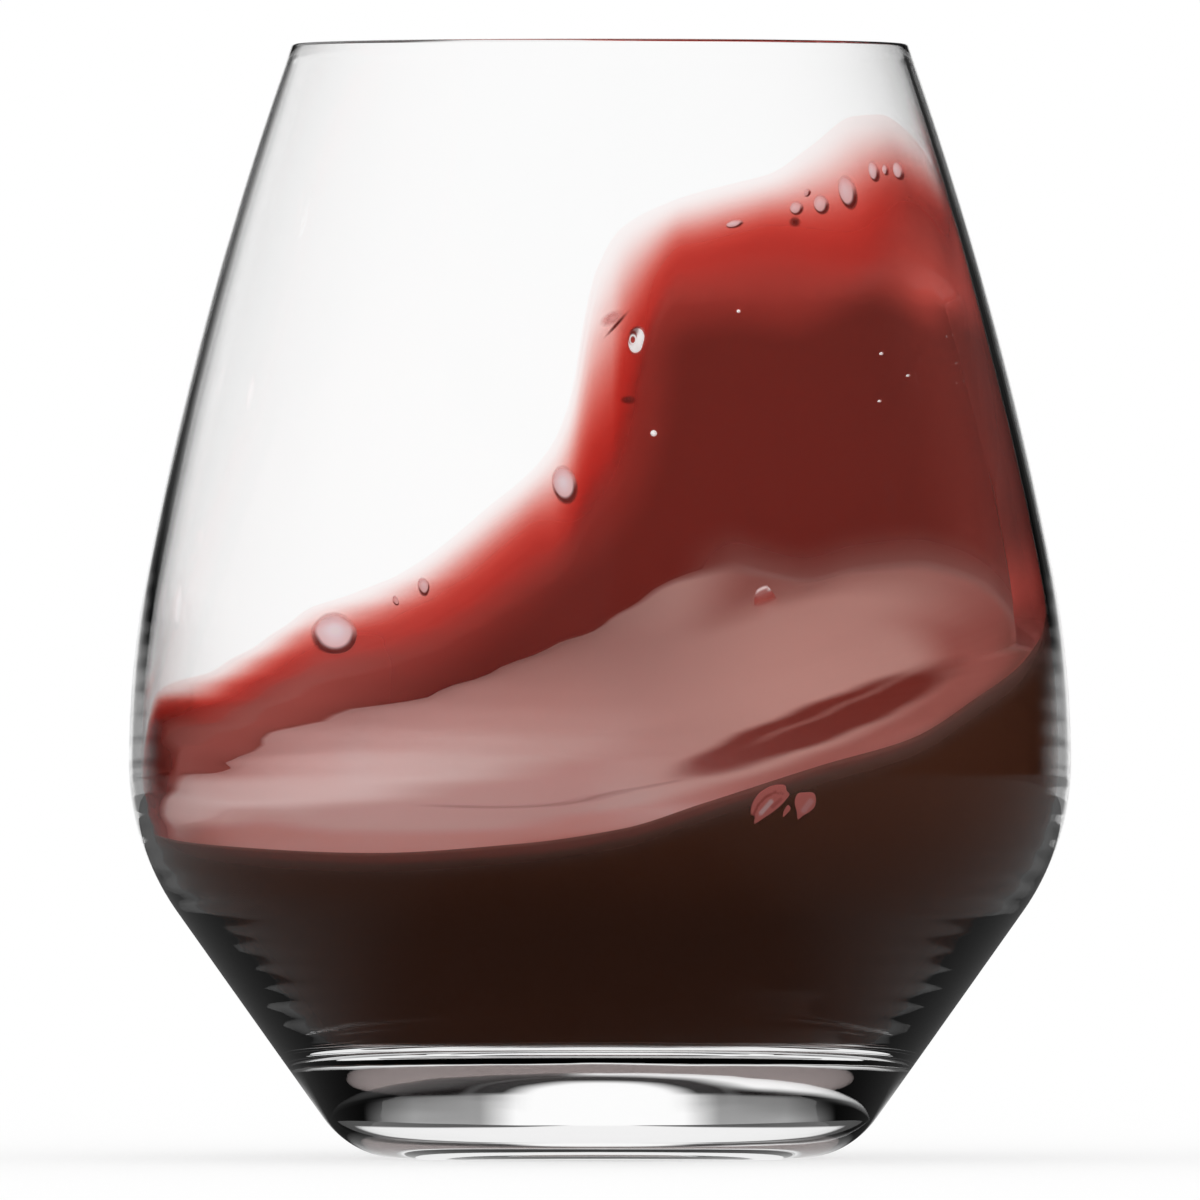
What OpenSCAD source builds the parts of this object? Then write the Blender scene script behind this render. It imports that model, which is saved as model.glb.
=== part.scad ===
// Stemless wine glass with red wine swirled up its back right wall.
// Millimetres, +Z up. The origin is on the table, under the centre of the base.
// The glass is turned about Z. Angles run from +X over the back (+Y).

/* [Glass outside] */
// Height from the table to the rim
height = 118; // [113:0.5:122]
// Outside diameter at the rim
rim_d = 65.5; // [62:0.5:69]
// Outside diameter at the widest ring
belly_d = 99.8; // [97:0.2:104]
// Height of the widest ring above the table
belly_h = 42; // [40:0.5:45]
// Diameter of the flat foot
base_d = 42.2; // [38:0.2:46]
// Radius of the outline just above the widest ring
belly_curve = 105; // [95:1:118]
// How far above the widest ring that radius holds
belly_rise = 20; // [15:0.5:24]
// Radius of the outline below the widest ring
shoulder_r = 27.4; // [25:0.2:29]
// Rounding between the foot and the slanted wall
foot_r = 10; // [7:0.5:11]

/* [Glass inside] */
// Wall thickness at the rim
rim_wall = 0.9; // [0.7:0.05:1.2]
// Wall thickness at the widest ring
belly_wall = 1.25; // [1:0.05:1.6]
// Height of the inside floor above the table
floor_h = 12.2; // [10:0.2:13]
// Diameter of the flat part of the inside floor
floor_d = 58; // [53:0.5:59]
// Rounding between the inside floor and the wall
floor_r = 4; // [3:0.5:7]
// Inside radius below the widest ring
inner_shoulder_r = 24.5; // [23:0.25:26]
// Diameter of the hollow under the foot
punt_d = 35; // [30:0.5:37]
// Depth of the hollow under the foot
punt_depth = 0.8; // [0.4:0.1:1.5]

/* [Wine] */
// Height of the wine's surface on the axis of the glass
wine_level = 45; // [43:0.5:46]
// Distance from the rim down to the wave's crest
crest_drop = 7.5; // [7:0.5:22]
// Rise of the surface from the axis to the right wall
rise_right = 9.5; // [7:0.5:11]
// Rise of the surface from the axis to the back wall
rise_back = 10.2; // [8:0.2:12]
// Thickness of the thin bright sheet below the wave's edge
sheet_t = 1.2; // [0.9:0.1:1.6]
// Thickness of the dark body of the wave
wave_t = 3.2; // [2.4:0.1:4]
// Thickness at the foot of the wave, under its crest
toe_t = 3.8; // [3.3:0.1:8]
// How far up the wave its body is thick, as a share of the wave's height
dark_top_share = 0.69; // [0.55:0.01:0.73]
// Depth of the thin sheet below its edge
sheet_depth = 4; // [3:0.5:5]

/* [Bubbles and foam] */
// Diameter of the largest bubble
bubble_d = 4.8; // [3.5:0.1:5.2]
// Width of the largest fleck of foam on the front wall
fleck_d = 4; // [2.5:0.1:4.6]

/* [Hidden] */
$fn = 96;

// Gap between the glass and the wine, so that the wine can turn freely
wall_gap = 0.3;
// Thickness of the wine along its upper edge
edge_t = 0.3;
// Height of the meniscus where the wine meets the wall
meniscus_h = 1.2;
// Gap between a bubble and the sheet of wine that carries it
bubble_gap = 0.2;
// Thickness of a fleck of foam, and its gap to the glass at its middle
fleck_t = 0.1;
fleck_gap = 0.12;
// Height of the punt half way out, as a share of its depth
punt_mid_share = 0.8;

// Height of the wave's crest above the level on the axis
wave_h = height - crest_drop - wine_level;
// How far round the wave's inner contours keep from its edge, in degrees
sheet_a = 5;
dark_a = 9;
// Depth at which the wave turns thick, where its edge is low
dark_depth = 2 * sheet_depth;
// Lowest places of those two contours between the fold and the edge
sheet_low_share = 0.6;
dark_low_share = 0.3;
// Thickness of a bare meniscus, between that of the edge and that of the sheet
meniscus_share = 0.3;

// Steps of the glass's outline: along each arc of a side, and over the rim
side_steps = 12;
rim_steps = 8;
// Steps of the wine's surface: round the axis, and along its outline
turns = 100;
corner_steps = 4;
cone_steps = 5;
wall_steps = 9;
sheet_steps = 9;
pool_steps = 7;
// Height below which the wine's outline is the same all round
even_h = floor_h + floor_r;

// The wave's outline, anticlockwise from the front left: angle in degrees,
// then the edge of the wine on the wall and the fold below it, as shares of wave_h
wave_shares = [
    [-170, -0.151, -0.171],
    [-145, -0.176, -0.195],
    [-120, -0.186, -0.205],
    [-100, -0.171, -0.191],
    [-87, -0.147, -0.166],
    [-77, -0.107, -0.127],
    [-62, -0.049, -0.068],
    [-48, -0.005, -0.024],
    [-37, 0.054, 0.034],
    [-22, 0.127, 0.103],
    [-13, 0.195, 0.137],
    [-8, 0.489, 0.156],
    [-4, 0.811, 0.171],
    [3, 0.899, 0.191],
    [14, 0.96, 0.23],
    [28, 1, 0.264],
    [37, 0.997, 0.274],
    [50, 0.947, 0.264],
    [59, 0.906, 0.244],
    [66, 0.89, 0.259],
    [71, 0.879, 0.274],
    [78, 0.86, 0.259],
    [86.5, 0.816, 0.2],
    [91, 0.738, 0.166],
    [92.8, 0.645, 0.156],
    [94.2, 0.547, 0.151],
    [97.2, 0.459, 0.137],
    [106, 0.362, 0.093],
    [114, 0.285, 0.059],
    [121, 0.241, 0.044],
    [131, 0.205, 0.024],
    [140, 0.147, 0],
    [152, 0.098, -0.054],
    [170, 0.068, -0.068],
    [180, -0.02, -0.098]
];
// Where the wave is thickest at its foot, and how far round that reaches
toe_a = 30;
toe_half_a = 60;

// Bubbles: angle in degrees, height above wine_level as a share of wave_h,
// diameter as a share of bubble_d
crest_bubble_shares = [
    [24, 0.914, 0.28], [29, 0.918, 0.2], [33.5, 0.914, 0.36], [41.5, 0.879, 0.58],
    [49, 0.86, 0.36], [52, 0.877, 0.17], [55.5, 0.852, 0.27], [67, 0.821, 0.28]
];
edge_bubble_shares = [
    [128.3, 0.159, 1], [118, 0.215, 0.17], [114, 0.237, 0.3], [94.8, 0.401, 0.7]
];
face_bubble_shares = [
    [84.4, 0.638, 0.5], [82.3, 0.489, 0.16], [68.5, 0.713, 0.14], [33, 0.586, 0.14]
];
// Flecks of foam: the same three numbers, the last as a share of fleck_d
fleck_shares = [
    [-68.5, -0.115, 1], [-65.2, -0.139, 0.26], [-62.7, -0.117, 0.62]
];

belly_r = belly_d / 2;
rim_r = rim_d / 2;
base_r = base_d / 2;

// Points on an arc: its centre, its radius, first and last angle, and steps
function arc(c, r, a0, a1, steps) =
    [for (i = [0:steps]) let (a = a0 + (a1 - a0) * i / steps) c + r * [cos(a), sin(a)]];

// Direction, seen from their centres, of the line that touches two circles on the outside
function tangent_a(c1, r1, c2, r2) =
    let (d = c1 - c2) atan2(d[1], d[0]) - acos((r2 - r1) / norm(d));

// Circle that leaves point p at right angles to direction a and passes through point q
function through_r(p, a, q) =
    let (d = q - p, n = -[cos(a), sin(a)]) d * d / (2 * (d * n));

// Outline of one side of the wall, as
// [foot circle centre and radius, shoulder circle, belly circle, side circle, angles between them]
function side_shape(foot_x, foot_z, foot_rad, widest, shoulder, curve, top) =
    let (
        foot_c = [foot_x, foot_z + foot_rad],
        shoulder_c = [widest - shoulder, belly_h],
        cone_a = tangent_a(shoulder_c, shoulder, foot_c, foot_rad),
        join_a = asin(belly_rise / curve),
        belly_c = [widest - curve, belly_h],
        join = belly_c + curve * [cos(join_a), sin(join_a)],
        side_rad = through_r(join, join_a, top),
        side_c = join - side_rad * [cos(join_a), sin(join_a)],
        top_a = asin((top[1] - side_c[1]) / side_rad)
    ) [
        [foot_c, foot_rad], [shoulder_c, shoulder], [belly_c, curve], [side_c, side_rad],
        [cone_a, join_a, top_a]
    ];

rim_h = height - rim_wall / 2;
outside = side_shape(base_r, 0, foot_r, belly_r, shoulder_r, belly_curve, [rim_r, rim_h]);
inside = side_shape(
    floor_d / 2, floor_h, floor_r, belly_r - belly_wall, inner_shoulder_r,
    belly_curve - belly_wall, [rim_r - rim_wall, rim_h]
);

// Outline of a side from its foot to the rim, set back by a gap
function side_points(s, gap, steps) = concat(
    arc(s[0][0], s[0][1] - gap, -90, s[4][0], steps),
    arc(s[1][0], s[1][1] - gap, s[4][0], 0, steps),
    [for (i = [1:steps]) arc(s[2][0], s[2][1] - gap, 0, s[4][1], steps)[i]],
    [for (i = [1:steps]) arc(s[3][0], s[3][1] - gap, s[4][1], s[4][2], steps)[i]]
);

// Radius of the inside wall at height z, set back by a gap, above the floor's rounding.
// A circle of negative radius curves outwards.
function circle_r(c, z, gap) =
    c[0][0] + sign(c[1]) * sqrt(pow(c[1] - gap, 2) - pow(z - c[0][1], 2));
function inside_r(z, gap) =
    let (
        a = inside[4][0],
        low = inside[0][0] + (inside[0][1] - gap) * [cos(a), sin(a)],
        high = inside[1][0] + (inside[1][1] - gap) * [cos(a), sin(a)],
        join_z = inside[2][0][1] + (inside[2][1] - gap) * sin(inside[4][1])
    )
    z <= low[1] ? circle_r(inside[0], z, gap)
    : z <= high[1] ? low[0] + (high[0] - low[0]) * (z - low[1]) / (high[1] - low[1])
    : z <= belly_h ? circle_r(inside[1], z, gap)
    : z <= join_z ? circle_r(inside[2], z, gap)
    : circle_r(inside[3], z, gap);

// Height given as a share of wave_h
function share_z(share) = wine_level + wave_h * share;

// Smooth curve through a column of wave_shares, which never overshoots its points
rows = len(wave_shares);
function row_a(i) = wave_shares[(i + rows) % rows][0] + 360 * floor(i / rows);
function row_v(i, col) = wave_shares[(i + rows) % rows][col];
function row_d(i, col) = (row_v(i + 1, col) - row_v(i, col)) / (row_a(i + 1) - row_a(i));
function row_m(i, col) =
    let (d0 = row_d(i - 1, col), d1 = row_d(i, col)) d0 * d1 <= 0 ? 0 : 2 * d0 * d1 / (d0 + d1);
function row_before(a, i = 0) = i + 1 >= rows || row_a(i + 1) > a ? i : row_before(a, i + 1);
function wrapped(a) = a < row_a(0) ? wrapped(a + 360) : a >= row_a(0) + 360 ? wrapped(a - 360) : a;
function contour(at, col) =
    let (
        a = wrapped(at),
        i = row_before(a),
        w = row_a(i + 1) - row_a(i),
        s = (a - row_a(i)) / w
    )
    row_v(i, col) * (1 + 2 * s) * (1 - s) * (1 - s) + row_m(i, col) * w * s * (1 - s) * (1 - s)
    + row_v(i + 1, col) * s * s * (3 - 2 * s) - row_m(i + 1, col) * w * s * s * (1 - s);

// Heights of the wine's edge on the wall and of the fold below it
function edge_z(a) = share_z(contour(a, 1));
function fold_z(a) = min(share_z(contour(a, 2)), edge_z(a) - meniscus_h);
// Lowest edge within some degrees each way
function low_edge_z(a, reach) = min([for (i = [-2:2]) edge_z(a + reach * i / 2)]);
// Heights below which the sheet has its full thickness, and below which the wave is thick
function sheet_z(a) =
    let (f = fold_z(a), e = edge_z(a))
    max(low_edge_z(a, sheet_a) - sheet_depth, f + (e - f) * sheet_low_share);
function dark_z(a) =
    let (f = fold_z(a), e = edge_z(a))
    max(
        min(low_edge_z(a, dark_a) - dark_depth, share_z(dark_top_share)),
        f + (e - f) * dark_low_share
    );

// 0 where the wine only has a meniscus, 1 where it stands up as a sheet
function standing(a) =
    let (s = min(1, (edge_z(a) - fold_z(a)) / dark_depth)) s * s * (3 - 2 * s);
function toe(a) =
    let (d = abs(wrapped(a) - toe_a)) d >= toe_half_a ? 0 : pow(cos(90 * d / toe_half_a), 2);

// Thickness of the wine on the wall at angle a and height z, from the edge down to the fold
function wine_t(a, z) =
    let (
        k = standing(a),
        full_t = edge_t + (sheet_t - edge_t) * max(k, meniscus_share),
        deep_t = full_t + (wave_t - sheet_t) * k,
        foot_t = max(deep_t + (toe_t - wave_t) * toe(a), meniscus_h),
        e = edge_z(a), s = sheet_z(a), d = dark_z(a), f = fold_z(a)
    )
    z >= s ? edge_t + (full_t - edge_t) * (e - z) / (e - s)
    : z >= d ? full_t + (deep_t - full_t) * (s - z) / (s - d)
    : deep_t + (foot_t - deep_t) * pow((d - z) / (d - f), 2);

// Radius of the wine's inner face on the wall
function face_r(a, z) = inside_r(z, wall_gap) - wine_t(a, z);

// Height of the pool's surface at angle a, at share q of the way from the axis to the fold
function pool_z(a, q) =
    let (plane = rise_right * cos(a) + rise_back * sin(a))
    wine_level + q * plane + pow(q, 3) * (fold_z(a) - wine_level - plane);

// The wine's outline at one angle, [radius, height], from the floor up the wall,
// over the edge and back along the surface, without its two points on the axis
function wine_outline(a) =
    let (
        floor_c = inside[0][0],
        e = edge_z(a), f = fold_z(a),
        corner = arc(floor_c, floor_r - wall_gap, -90, inside[4][0], corner_steps),
        start = corner[corner_steps][1],
        fold_r = face_r(a, f)
    )
    concat(
        [[floor_c[0] / 2, floor_h + wall_gap]],
        corner,
        [for (i = [1:cone_steps]) let (z = start + (even_h - start) * i / cone_steps)
            [inside_r(z, wall_gap), z]],
        [for (i = [1:wall_steps]) let (z = even_h + (e - even_h) * i / wall_steps)
            [inside_r(z, wall_gap), z]],
        [for (i = [0:sheet_steps]) let (z = e + (f - e) * i / sheet_steps) [face_r(a, z), z]],
        [for (i = [1:pool_steps - 1]) let (q = 1 - i / pool_steps) [fold_r * q, pool_z(a, q)]]
    );

module wine() {
    outlines = [for (i = [0:turns - 1]) wine_outline(360 * i / turns)];
    n = len(outlines[0]);
    points = concat(
        [[0, 0, floor_h + wall_gap], [0, 0, wine_level]],
        [for (i = [0:turns - 1]) let (a = 360 * i / turns)
            for (p = outlines[i]) [p[0] * cos(a), p[0] * sin(a), p[1]]]
    );
    function at(i, j) = 2 + (i % turns) * n + j;
    faces = [for (i = [0:turns - 1]) each concat(
        [[0, at(i, 0), at(i + 1, 0)], [1, at(i + 1, n - 1), at(i, n - 1)]],
        [for (j = [0:n - 2]) each [
            [at(i, j), at(i, j + 1), at(i + 1, j)],
            [at(i + 1, j), at(i, j + 1), at(i + 1, j + 1)]
        ]]
    )];
    color([0.45, 0.05, 0.06]) polyhedron(points, faces, convexity = 6);
}

// One piece of clear glass: bowl, rim and thick base
module glass() {
    out = side_points(outside, 0, side_steps);
    in = side_points(inside, 0, side_steps);
    rim_c = [rim_r - rim_wall / 2, rim_h];
    rim = [for (i = [1:rim_steps - 1]) arc(rim_c, rim_wall / 2, 0, 180, rim_steps)[i]];
    outline = concat(
        [[0, punt_depth], [punt_d / 4, punt_depth * punt_mid_share], [punt_d / 2, 0]],
        out, rim, [for (i = [len(in) - 1:-1:0]) in[i]], [[0, floor_h]]
    );
    color([0.86, 0.9, 0.92, 0.35]) rotate_extrude() polygon(outline);
}

// A bubble that sits on the inner face of the wine, from its row of shares
module bubble(row) {
    a = row[0];
    z = share_z(row[1]);
    r = bubble_d * row[2] / 2;
    span_a = r / face_r(a, z) * 180 / PI;
    slope = (face_r(a, z + r) - face_r(a, z - r)) / (2 * r);
    lean = (face_r(a + span_a, z) - face_r(a - span_a, z)) / (2 * r);
    out = (r + bubble_gap) / sqrt(1 + slope * slope + lean * lean);
    rotate([0, 0, a]) translate([face_r(a, z) - out, out * lean, z + out * slope]) sphere(r);
}

module crest_bubbles() {
    color([0.95, 0.78, 0.76]) for (row = crest_bubble_shares) bubble(row);
}

module edge_bubbles() {
    color([0.95, 0.8, 0.78]) for (row = edge_bubble_shares) bubble(row);
}

module face_bubbles() {
    color([0.9, 0.7, 0.68]) for (row = face_bubble_shares) bubble(row);
}

// Thin flecks that lie flat between the wine and the front wall
module foam_flecks() {
    color([0.85, 0.5, 0.47]) for (row = fleck_shares) {
        z = share_z(row[1]);
        r = fleck_d * row[2] / 2;
        slope = (inside_r(z + r, fleck_gap) - inside_r(z - r, fleck_gap)) / (2 * r);
        rotate([0, 0, row[0]]) translate([inside_r(z, fleck_gap), 0, z])
            rotate([0, atan(slope) - 90, 0]) cylinder(h = fleck_t, r = r);
    }
}

glass();
wine();
crest_bubbles();
edge_bubbles();
face_bubbles();
foam_flecks();
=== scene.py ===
"""Looks of a stemless wine glass with red wine swirled up its back right wall.

Sizes are in millimetres in the classes and in metres in the meshes. +Z is up, +X is right and
+Y is back. The glass is turned about Z, and angles run from +X over +Y. The profile of the glass
and the contours of the wine are those of the solids, worked out on finer grids.
"""

import logging
import math
from dataclasses import dataclass
from enum import Enum
from collections.abc import Callable
from typing import Any

import bpy
import numpy as np
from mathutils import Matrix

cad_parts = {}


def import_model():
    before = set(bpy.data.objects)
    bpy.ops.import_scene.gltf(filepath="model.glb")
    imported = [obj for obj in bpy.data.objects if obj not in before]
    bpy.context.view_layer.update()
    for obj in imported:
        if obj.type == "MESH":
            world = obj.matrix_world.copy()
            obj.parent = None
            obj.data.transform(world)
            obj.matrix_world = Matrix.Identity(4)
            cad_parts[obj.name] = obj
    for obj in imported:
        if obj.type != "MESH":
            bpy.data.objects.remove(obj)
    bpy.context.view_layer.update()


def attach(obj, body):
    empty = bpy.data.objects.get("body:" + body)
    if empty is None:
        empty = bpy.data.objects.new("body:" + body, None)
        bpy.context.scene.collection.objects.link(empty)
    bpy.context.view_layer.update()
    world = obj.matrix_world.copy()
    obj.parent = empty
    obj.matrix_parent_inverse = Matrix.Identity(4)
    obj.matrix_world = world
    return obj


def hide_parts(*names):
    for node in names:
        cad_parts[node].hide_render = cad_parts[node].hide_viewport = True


log = logging.getLogger("wine_glass")

MM = 0.001
TURN = 2 * math.pi
Array = np.ndarray


class Slot(Enum):
    """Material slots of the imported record."""

    GLASS = "clear_glass"
    WINE = "red_wine"
    BUBBLE = "bubble_film"
    FOAM = "wine_foam"


class Body(Enum):
    """Bodies that the pieces ride on."""

    GLASS = "glass"
    WINE = "wine"


# ---------------------------------------------------------------- colours and nodes


def linear(code: str) -> Array:
    """Turns a screen colour into the linear values that shaders read: c / 12.92 where c is
    darkest, and (c + 0.055) / 1.055 to the power 2.4 above that.

    Args:
        code: Colour as six hex digits, such as "b83832".

    Returns:
        Red, green and blue.
    """
    c = np.array([int(code[i:i + 2], 16) for i in (0, 2, 4)]) / 255
    return np.where(c <= 0.04045, c / 12.92, ((c + 0.055) / 1.055) ** 2.4)


def palette(colours: type[Enum]) -> dict[Enum, Array]:
    """Linear values of a set of named screen colours."""
    return {colour: linear(colour.value) for colour in colours}


class Finish:
    """A node material that starts as one Principled shader."""

    def __init__(self, name: str) -> None:
        """Makes the empty material.

        Args:
            name: Name of the material.
        """
        self.material = bpy.data.materials.new(name)
        self.material.use_nodes = True
        self.tree = self.material.node_tree
        self.shader = self.tree.nodes["Principled BSDF"]
        self.output = self.tree.nodes["Material Output"]

    def set(self, **values: Any) -> None:
        """Sets sockets of the shader, with underscores for spaces in their names."""
        for name, value in values.items():
            self.shader.inputs[name.replace("_", " ")].default_value = value

    def add(self, kind: str, settings: dict[str, Any] | None = None,
            **inputs: Any) -> bpy.types.Node:
        """Adds one node and fills it in.

        Args:
            kind: Node type without its ShaderNode prefix.
            settings: Properties of the node.
            inputs: Values or output sockets for its inputs, by name with underscores for spaces,
                or by "n" and the number of the input.

        Returns:
            The node.
        """
        node = self.tree.nodes.new("ShaderNode" + kind)
        for name, value in (settings or {}).items():
            setattr(node, name, value)
        for name, value in inputs.items():
            socket = node.inputs[int(name[1:]) if name[1:].isdigit() else name.replace("_", " ")]
            if isinstance(value, bpy.types.NodeSocket):
                self.tree.links.new(value, socket)
            else:
                socket.default_value = value
        return node

    def link(self, source: bpy.types.NodeSocket, target: str) -> None:
        """Links a socket to one of the shader's inputs."""
        self.tree.links.new(source, self.shader.inputs[target])


def blend(first: Array, second: Array, share: Array) -> Array:
    """Mixes two linear colours, point by point: first (1 - share) + second share."""
    return first + (second - first) * np.asarray(share)[..., None]


# ---------------------------------------------------------------- meshes


def mesh_object(name: str, points: Array, faces: list, smooth: bool = True) -> bpy.types.Object:
    """Makes an object at the origin from points in millimetres.

    Args:
        name: Name of the piece.
        points: Corner points, one row each.
        faces: Corner numbers of the faces, one row each.
        smooth: True for smooth shading.

    Returns:
        The object, linked to the scene.
    """
    mesh = bpy.data.meshes.new(name)
    mesh.from_pydata((points * MM).tolist(), [], [list(map(int, f)) for f in faces])
    mesh.validate()
    mesh.polygons.foreach_set("use_smooth", np.full(len(mesh.polygons), smooth))
    mesh.update()
    made = bpy.data.objects.new(name, mesh)
    bpy.context.scene.collection.objects.link(made)
    return made


def grid_quads(rows: int, columns: int, closed: bool) -> Array:
    """Faces of a grid whose points are numbered row by row.

    Args:
        rows: Number of rows.
        columns: Number of points in a row.
        closed: True if the last row meets the first.

    Returns:
        Corner numbers, four to a face, turned so that a surface whose rows run anticlockwise
        and whose columns run outwards then upwards faces outwards.
    """
    r = np.arange(rows if closed else rows - 1)
    c = np.arange(columns - 1)
    a = r[:, None] * columns + c[None, :]
    b = ((r + 1) % rows)[:, None] * columns + c[None, :]
    return np.stack([a, b, b + 1, a + 1], -1).reshape(-1, 4)


def shell_object(name: str, shells: list[tuple[Array, Array, Array]]) -> bpy.types.Object:
    """Makes one object of closed shells.

    Args:
        name: Name of the piece.
        shells: For each shell its grid of points, whose rows run round it and whose columns run
            from its low pole to its high pole, and then the two poles.

    Returns:
        The object.
    """
    points, faces, start = [], [], 0
    for grid, low, high in shells:
        turns, steps = grid.shape[:2]
        end = start + turns * steps
        first = start + np.arange(turns) * steps
        after = np.roll(first, -1)
        faces += (grid_quads(turns, steps, True) + start).tolist()
        faces += np.stack([np.full(turns, end), after, first], -1).tolist()
        last = np.full(turns, end + 1)
        faces += np.stack([last, first + steps - 1, after + steps - 1], -1).tolist()
        points += [grid.reshape(-1, 3), [low, high]]
        start = end + 2
    return mesh_object(name, np.concatenate(points), faces)


def turned_shell(name: str, radius: Array, height: Array, low_z: float,
                 high_z: float) -> bpy.types.Object:
    """Closed shell round the axis: the point at angle t and step j of the outline is
    (radius[t, j] cos t, radius[t, j] sin t, height[t, j]), with one point on the axis at each end.

    Args:
        name: Name of the piece.
        radius: Distances from the axis, one row for each angle.
        height: Heights, in the same rows.
        low_z: Height of the axis point before the first step.
        high_z: Height of the axis point after the last step.

    Returns:
        The object.
    """
    angle = (np.arange(len(radius)) * TURN / len(radius))[:, None]
    grid = np.stack([radius * np.cos(angle), radius * np.sin(angle), height], -1)
    return shell_object(name, [(grid, np.array([0, 0, low_z]), np.array([0, 0, high_z]))])


def store(made: bpy.types.Object, name: str, values: Array) -> None:
    """Stores one number or one linear colour for each point of a piece.

    Args:
        made: The piece.
        name: Name of the attribute.
        values: One value each, or one row of red, green and blue each.
    """
    data = made.data.attributes
    if values.ndim == 1:
        data.new(name, "FLOAT", "POINT").data.foreach_set("value", values.astype(np.float32))
        return
    full = np.concatenate([values, np.ones((len(values), 1))], 1).astype(np.float32)
    data.new(name, "FLOAT_COLOR", "POINT").data.foreach_set("color", full.reshape(-1))


def ease(value: Array) -> Array:
    """Smooth step: 0 below 0, 1 above 1 and 3 v² - 2 v³ between."""
    v = np.clip(value, 0, 1)
    return v * v * (3 - 2 * v)


@dataclass(frozen=True)
class Span:
    """Two ends of a soft border: nothing at the first value, all at the second."""

    none: float
    full: float

    def at(self, value: Array) -> Array:
        """Share at a value, eased between the ends."""
        return ease((value - self.none) / (self.full - self.none))


@dataclass(frozen=True)
class Extra:
    """An amount that holds between soft borders."""

    amount: float
    borders: tuple[Span, ...]

    def at(self, value: Array) -> Array:
        """The amount times the shares of its borders at a value."""
        return self.amount * math.prod(border.at(value) for border in self.borders)


# ---------------------------------------------------------------- the glass


@dataclass(frozen=True)
class Circle:
    """A circle in the plane of the outline: its centre and its radius."""

    x: float
    z: float
    r: float

    def arc(self, first: float, last: float, steps: int, gap: float = 0.0) -> Array:
        """Points centre + (r - gap) (cos a, sin a), with the angle a in equal steps."""
        a, r = np.linspace(first, last, steps + 1), self.r - gap
        return np.stack([self.x + r * np.cos(a), self.z + r * np.sin(a)], -1)

    def radius_at(self, z: Array, gap: float) -> Array:
        """Distance from the axis at height z: x + sqrt((r - gap)² - (z - centre)²)."""
        return self.x + math.copysign(1, self.r) * np.sqrt(
            np.maximum((self.r - gap) ** 2 - (z - self.z) ** 2, 0))


@dataclass(frozen=True)
class Side:
    """One side of the wall: foot circle, straight cone, shoulder, belly and side circles."""

    foot: Circle
    shoulder: Circle
    belly: Circle
    wall: Circle
    cone_a: float
    join_a: float
    top_a: float

    @classmethod
    def fitted(cls, foot: Circle, widest: float, shoulder_r: float, curve: float,
               belly_h: float, rise: float, top: tuple[float, float]) -> "Side":
        """Fits a side: the cone touches foot and shoulder circle from outside, and the side
        circle leaves the belly circle smoothly and passes through the top point.

        Args:
            foot: Circle between the floor and the cone.
            widest: Radius of the widest ring.
            shoulder_r: Radius of the outline below the widest ring.
            curve: Radius of the outline just above it.
            belly_h: Height of the widest ring.
            rise: How far above the widest ring the belly circle holds.
            top: Distance from the axis and height of the top point.

        Returns:
            The side.
        """
        shoulder = Circle(widest - shoulder_r, belly_h, shoulder_r)
        dx, dz = shoulder.x - foot.x, shoulder.z - foot.z
        cone_a = math.atan2(dz, dx) - math.acos((foot.r - shoulder_r) / math.hypot(dx, dz))
        join_a = math.asin(rise / curve)
        belly = Circle(widest - curve, belly_h, curve)
        normal = np.array([math.cos(join_a), math.sin(join_a)])
        join = np.array([belly.x, belly.z]) + curve * normal
        away = np.array(top) - join
        wall_r = float(away @ away / (2 * (away @ -normal)))
        centre = join - wall_r * normal
        wall = Circle(float(centre[0]), float(centre[1]), wall_r)
        top_a = math.asin((top[1] - wall.z) / wall_r)
        return cls(foot, shoulder, belly, wall, cone_a, join_a, top_a)

    def points(self, steps: int, cone_steps: int) -> Array:
        """Outline from the foot to the top: the arcs of the four circles and the cone.

        Args:
            steps: Steps along each arc.
            cone_steps: Steps along the cone.

        Returns:
            Distance from the axis and height, one row for each point.
        """
        low = self.foot.arc(-math.pi / 2, self.cone_a, steps)
        high = self.shoulder.arc(self.cone_a, 0, steps)
        cone = np.linspace(low[-1], high[0], cone_steps + 1)[1:-1]
        belly = self.belly.arc(0, self.join_a, steps)[1:]
        wall = self.wall.arc(self.join_a, self.top_a, steps)[1:]
        return np.concatenate([low, cone, high, belly, wall])

    def radius_at(self, z: Array, gap: float) -> Array:
        """Distance from the axis at each height above the foot circle's lowest point, set back
        by a gap: the circle or the cone that holds there.

        Args:
            z: Heights.
            gap: Distance to the surface.

        Returns:
            Distances from the axis.
        """
        c, s = math.cos(self.cone_a), math.sin(self.cone_a)
        low_x, low_z = self.foot.x + (self.foot.r - gap) * c, self.foot.z + (self.foot.r - gap) * s
        high_x = self.shoulder.x + (self.shoulder.r - gap) * c
        high_z = self.shoulder.z + (self.shoulder.r - gap) * s
        join_z = self.belly.z + (self.belly.r - gap) * math.sin(self.join_a)
        cone = low_x + (high_x - low_x) * (z - low_z) / (high_z - low_z)
        return np.select(
            [z <= low_z, z <= high_z, z <= self.shoulder.z, z <= join_z],
            [self.foot.radius_at(z, gap), cone, self.shoulder.radius_at(z, gap),
             self.belly.radius_at(z, gap)],
            self.wall.radius_at(z, gap))


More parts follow.
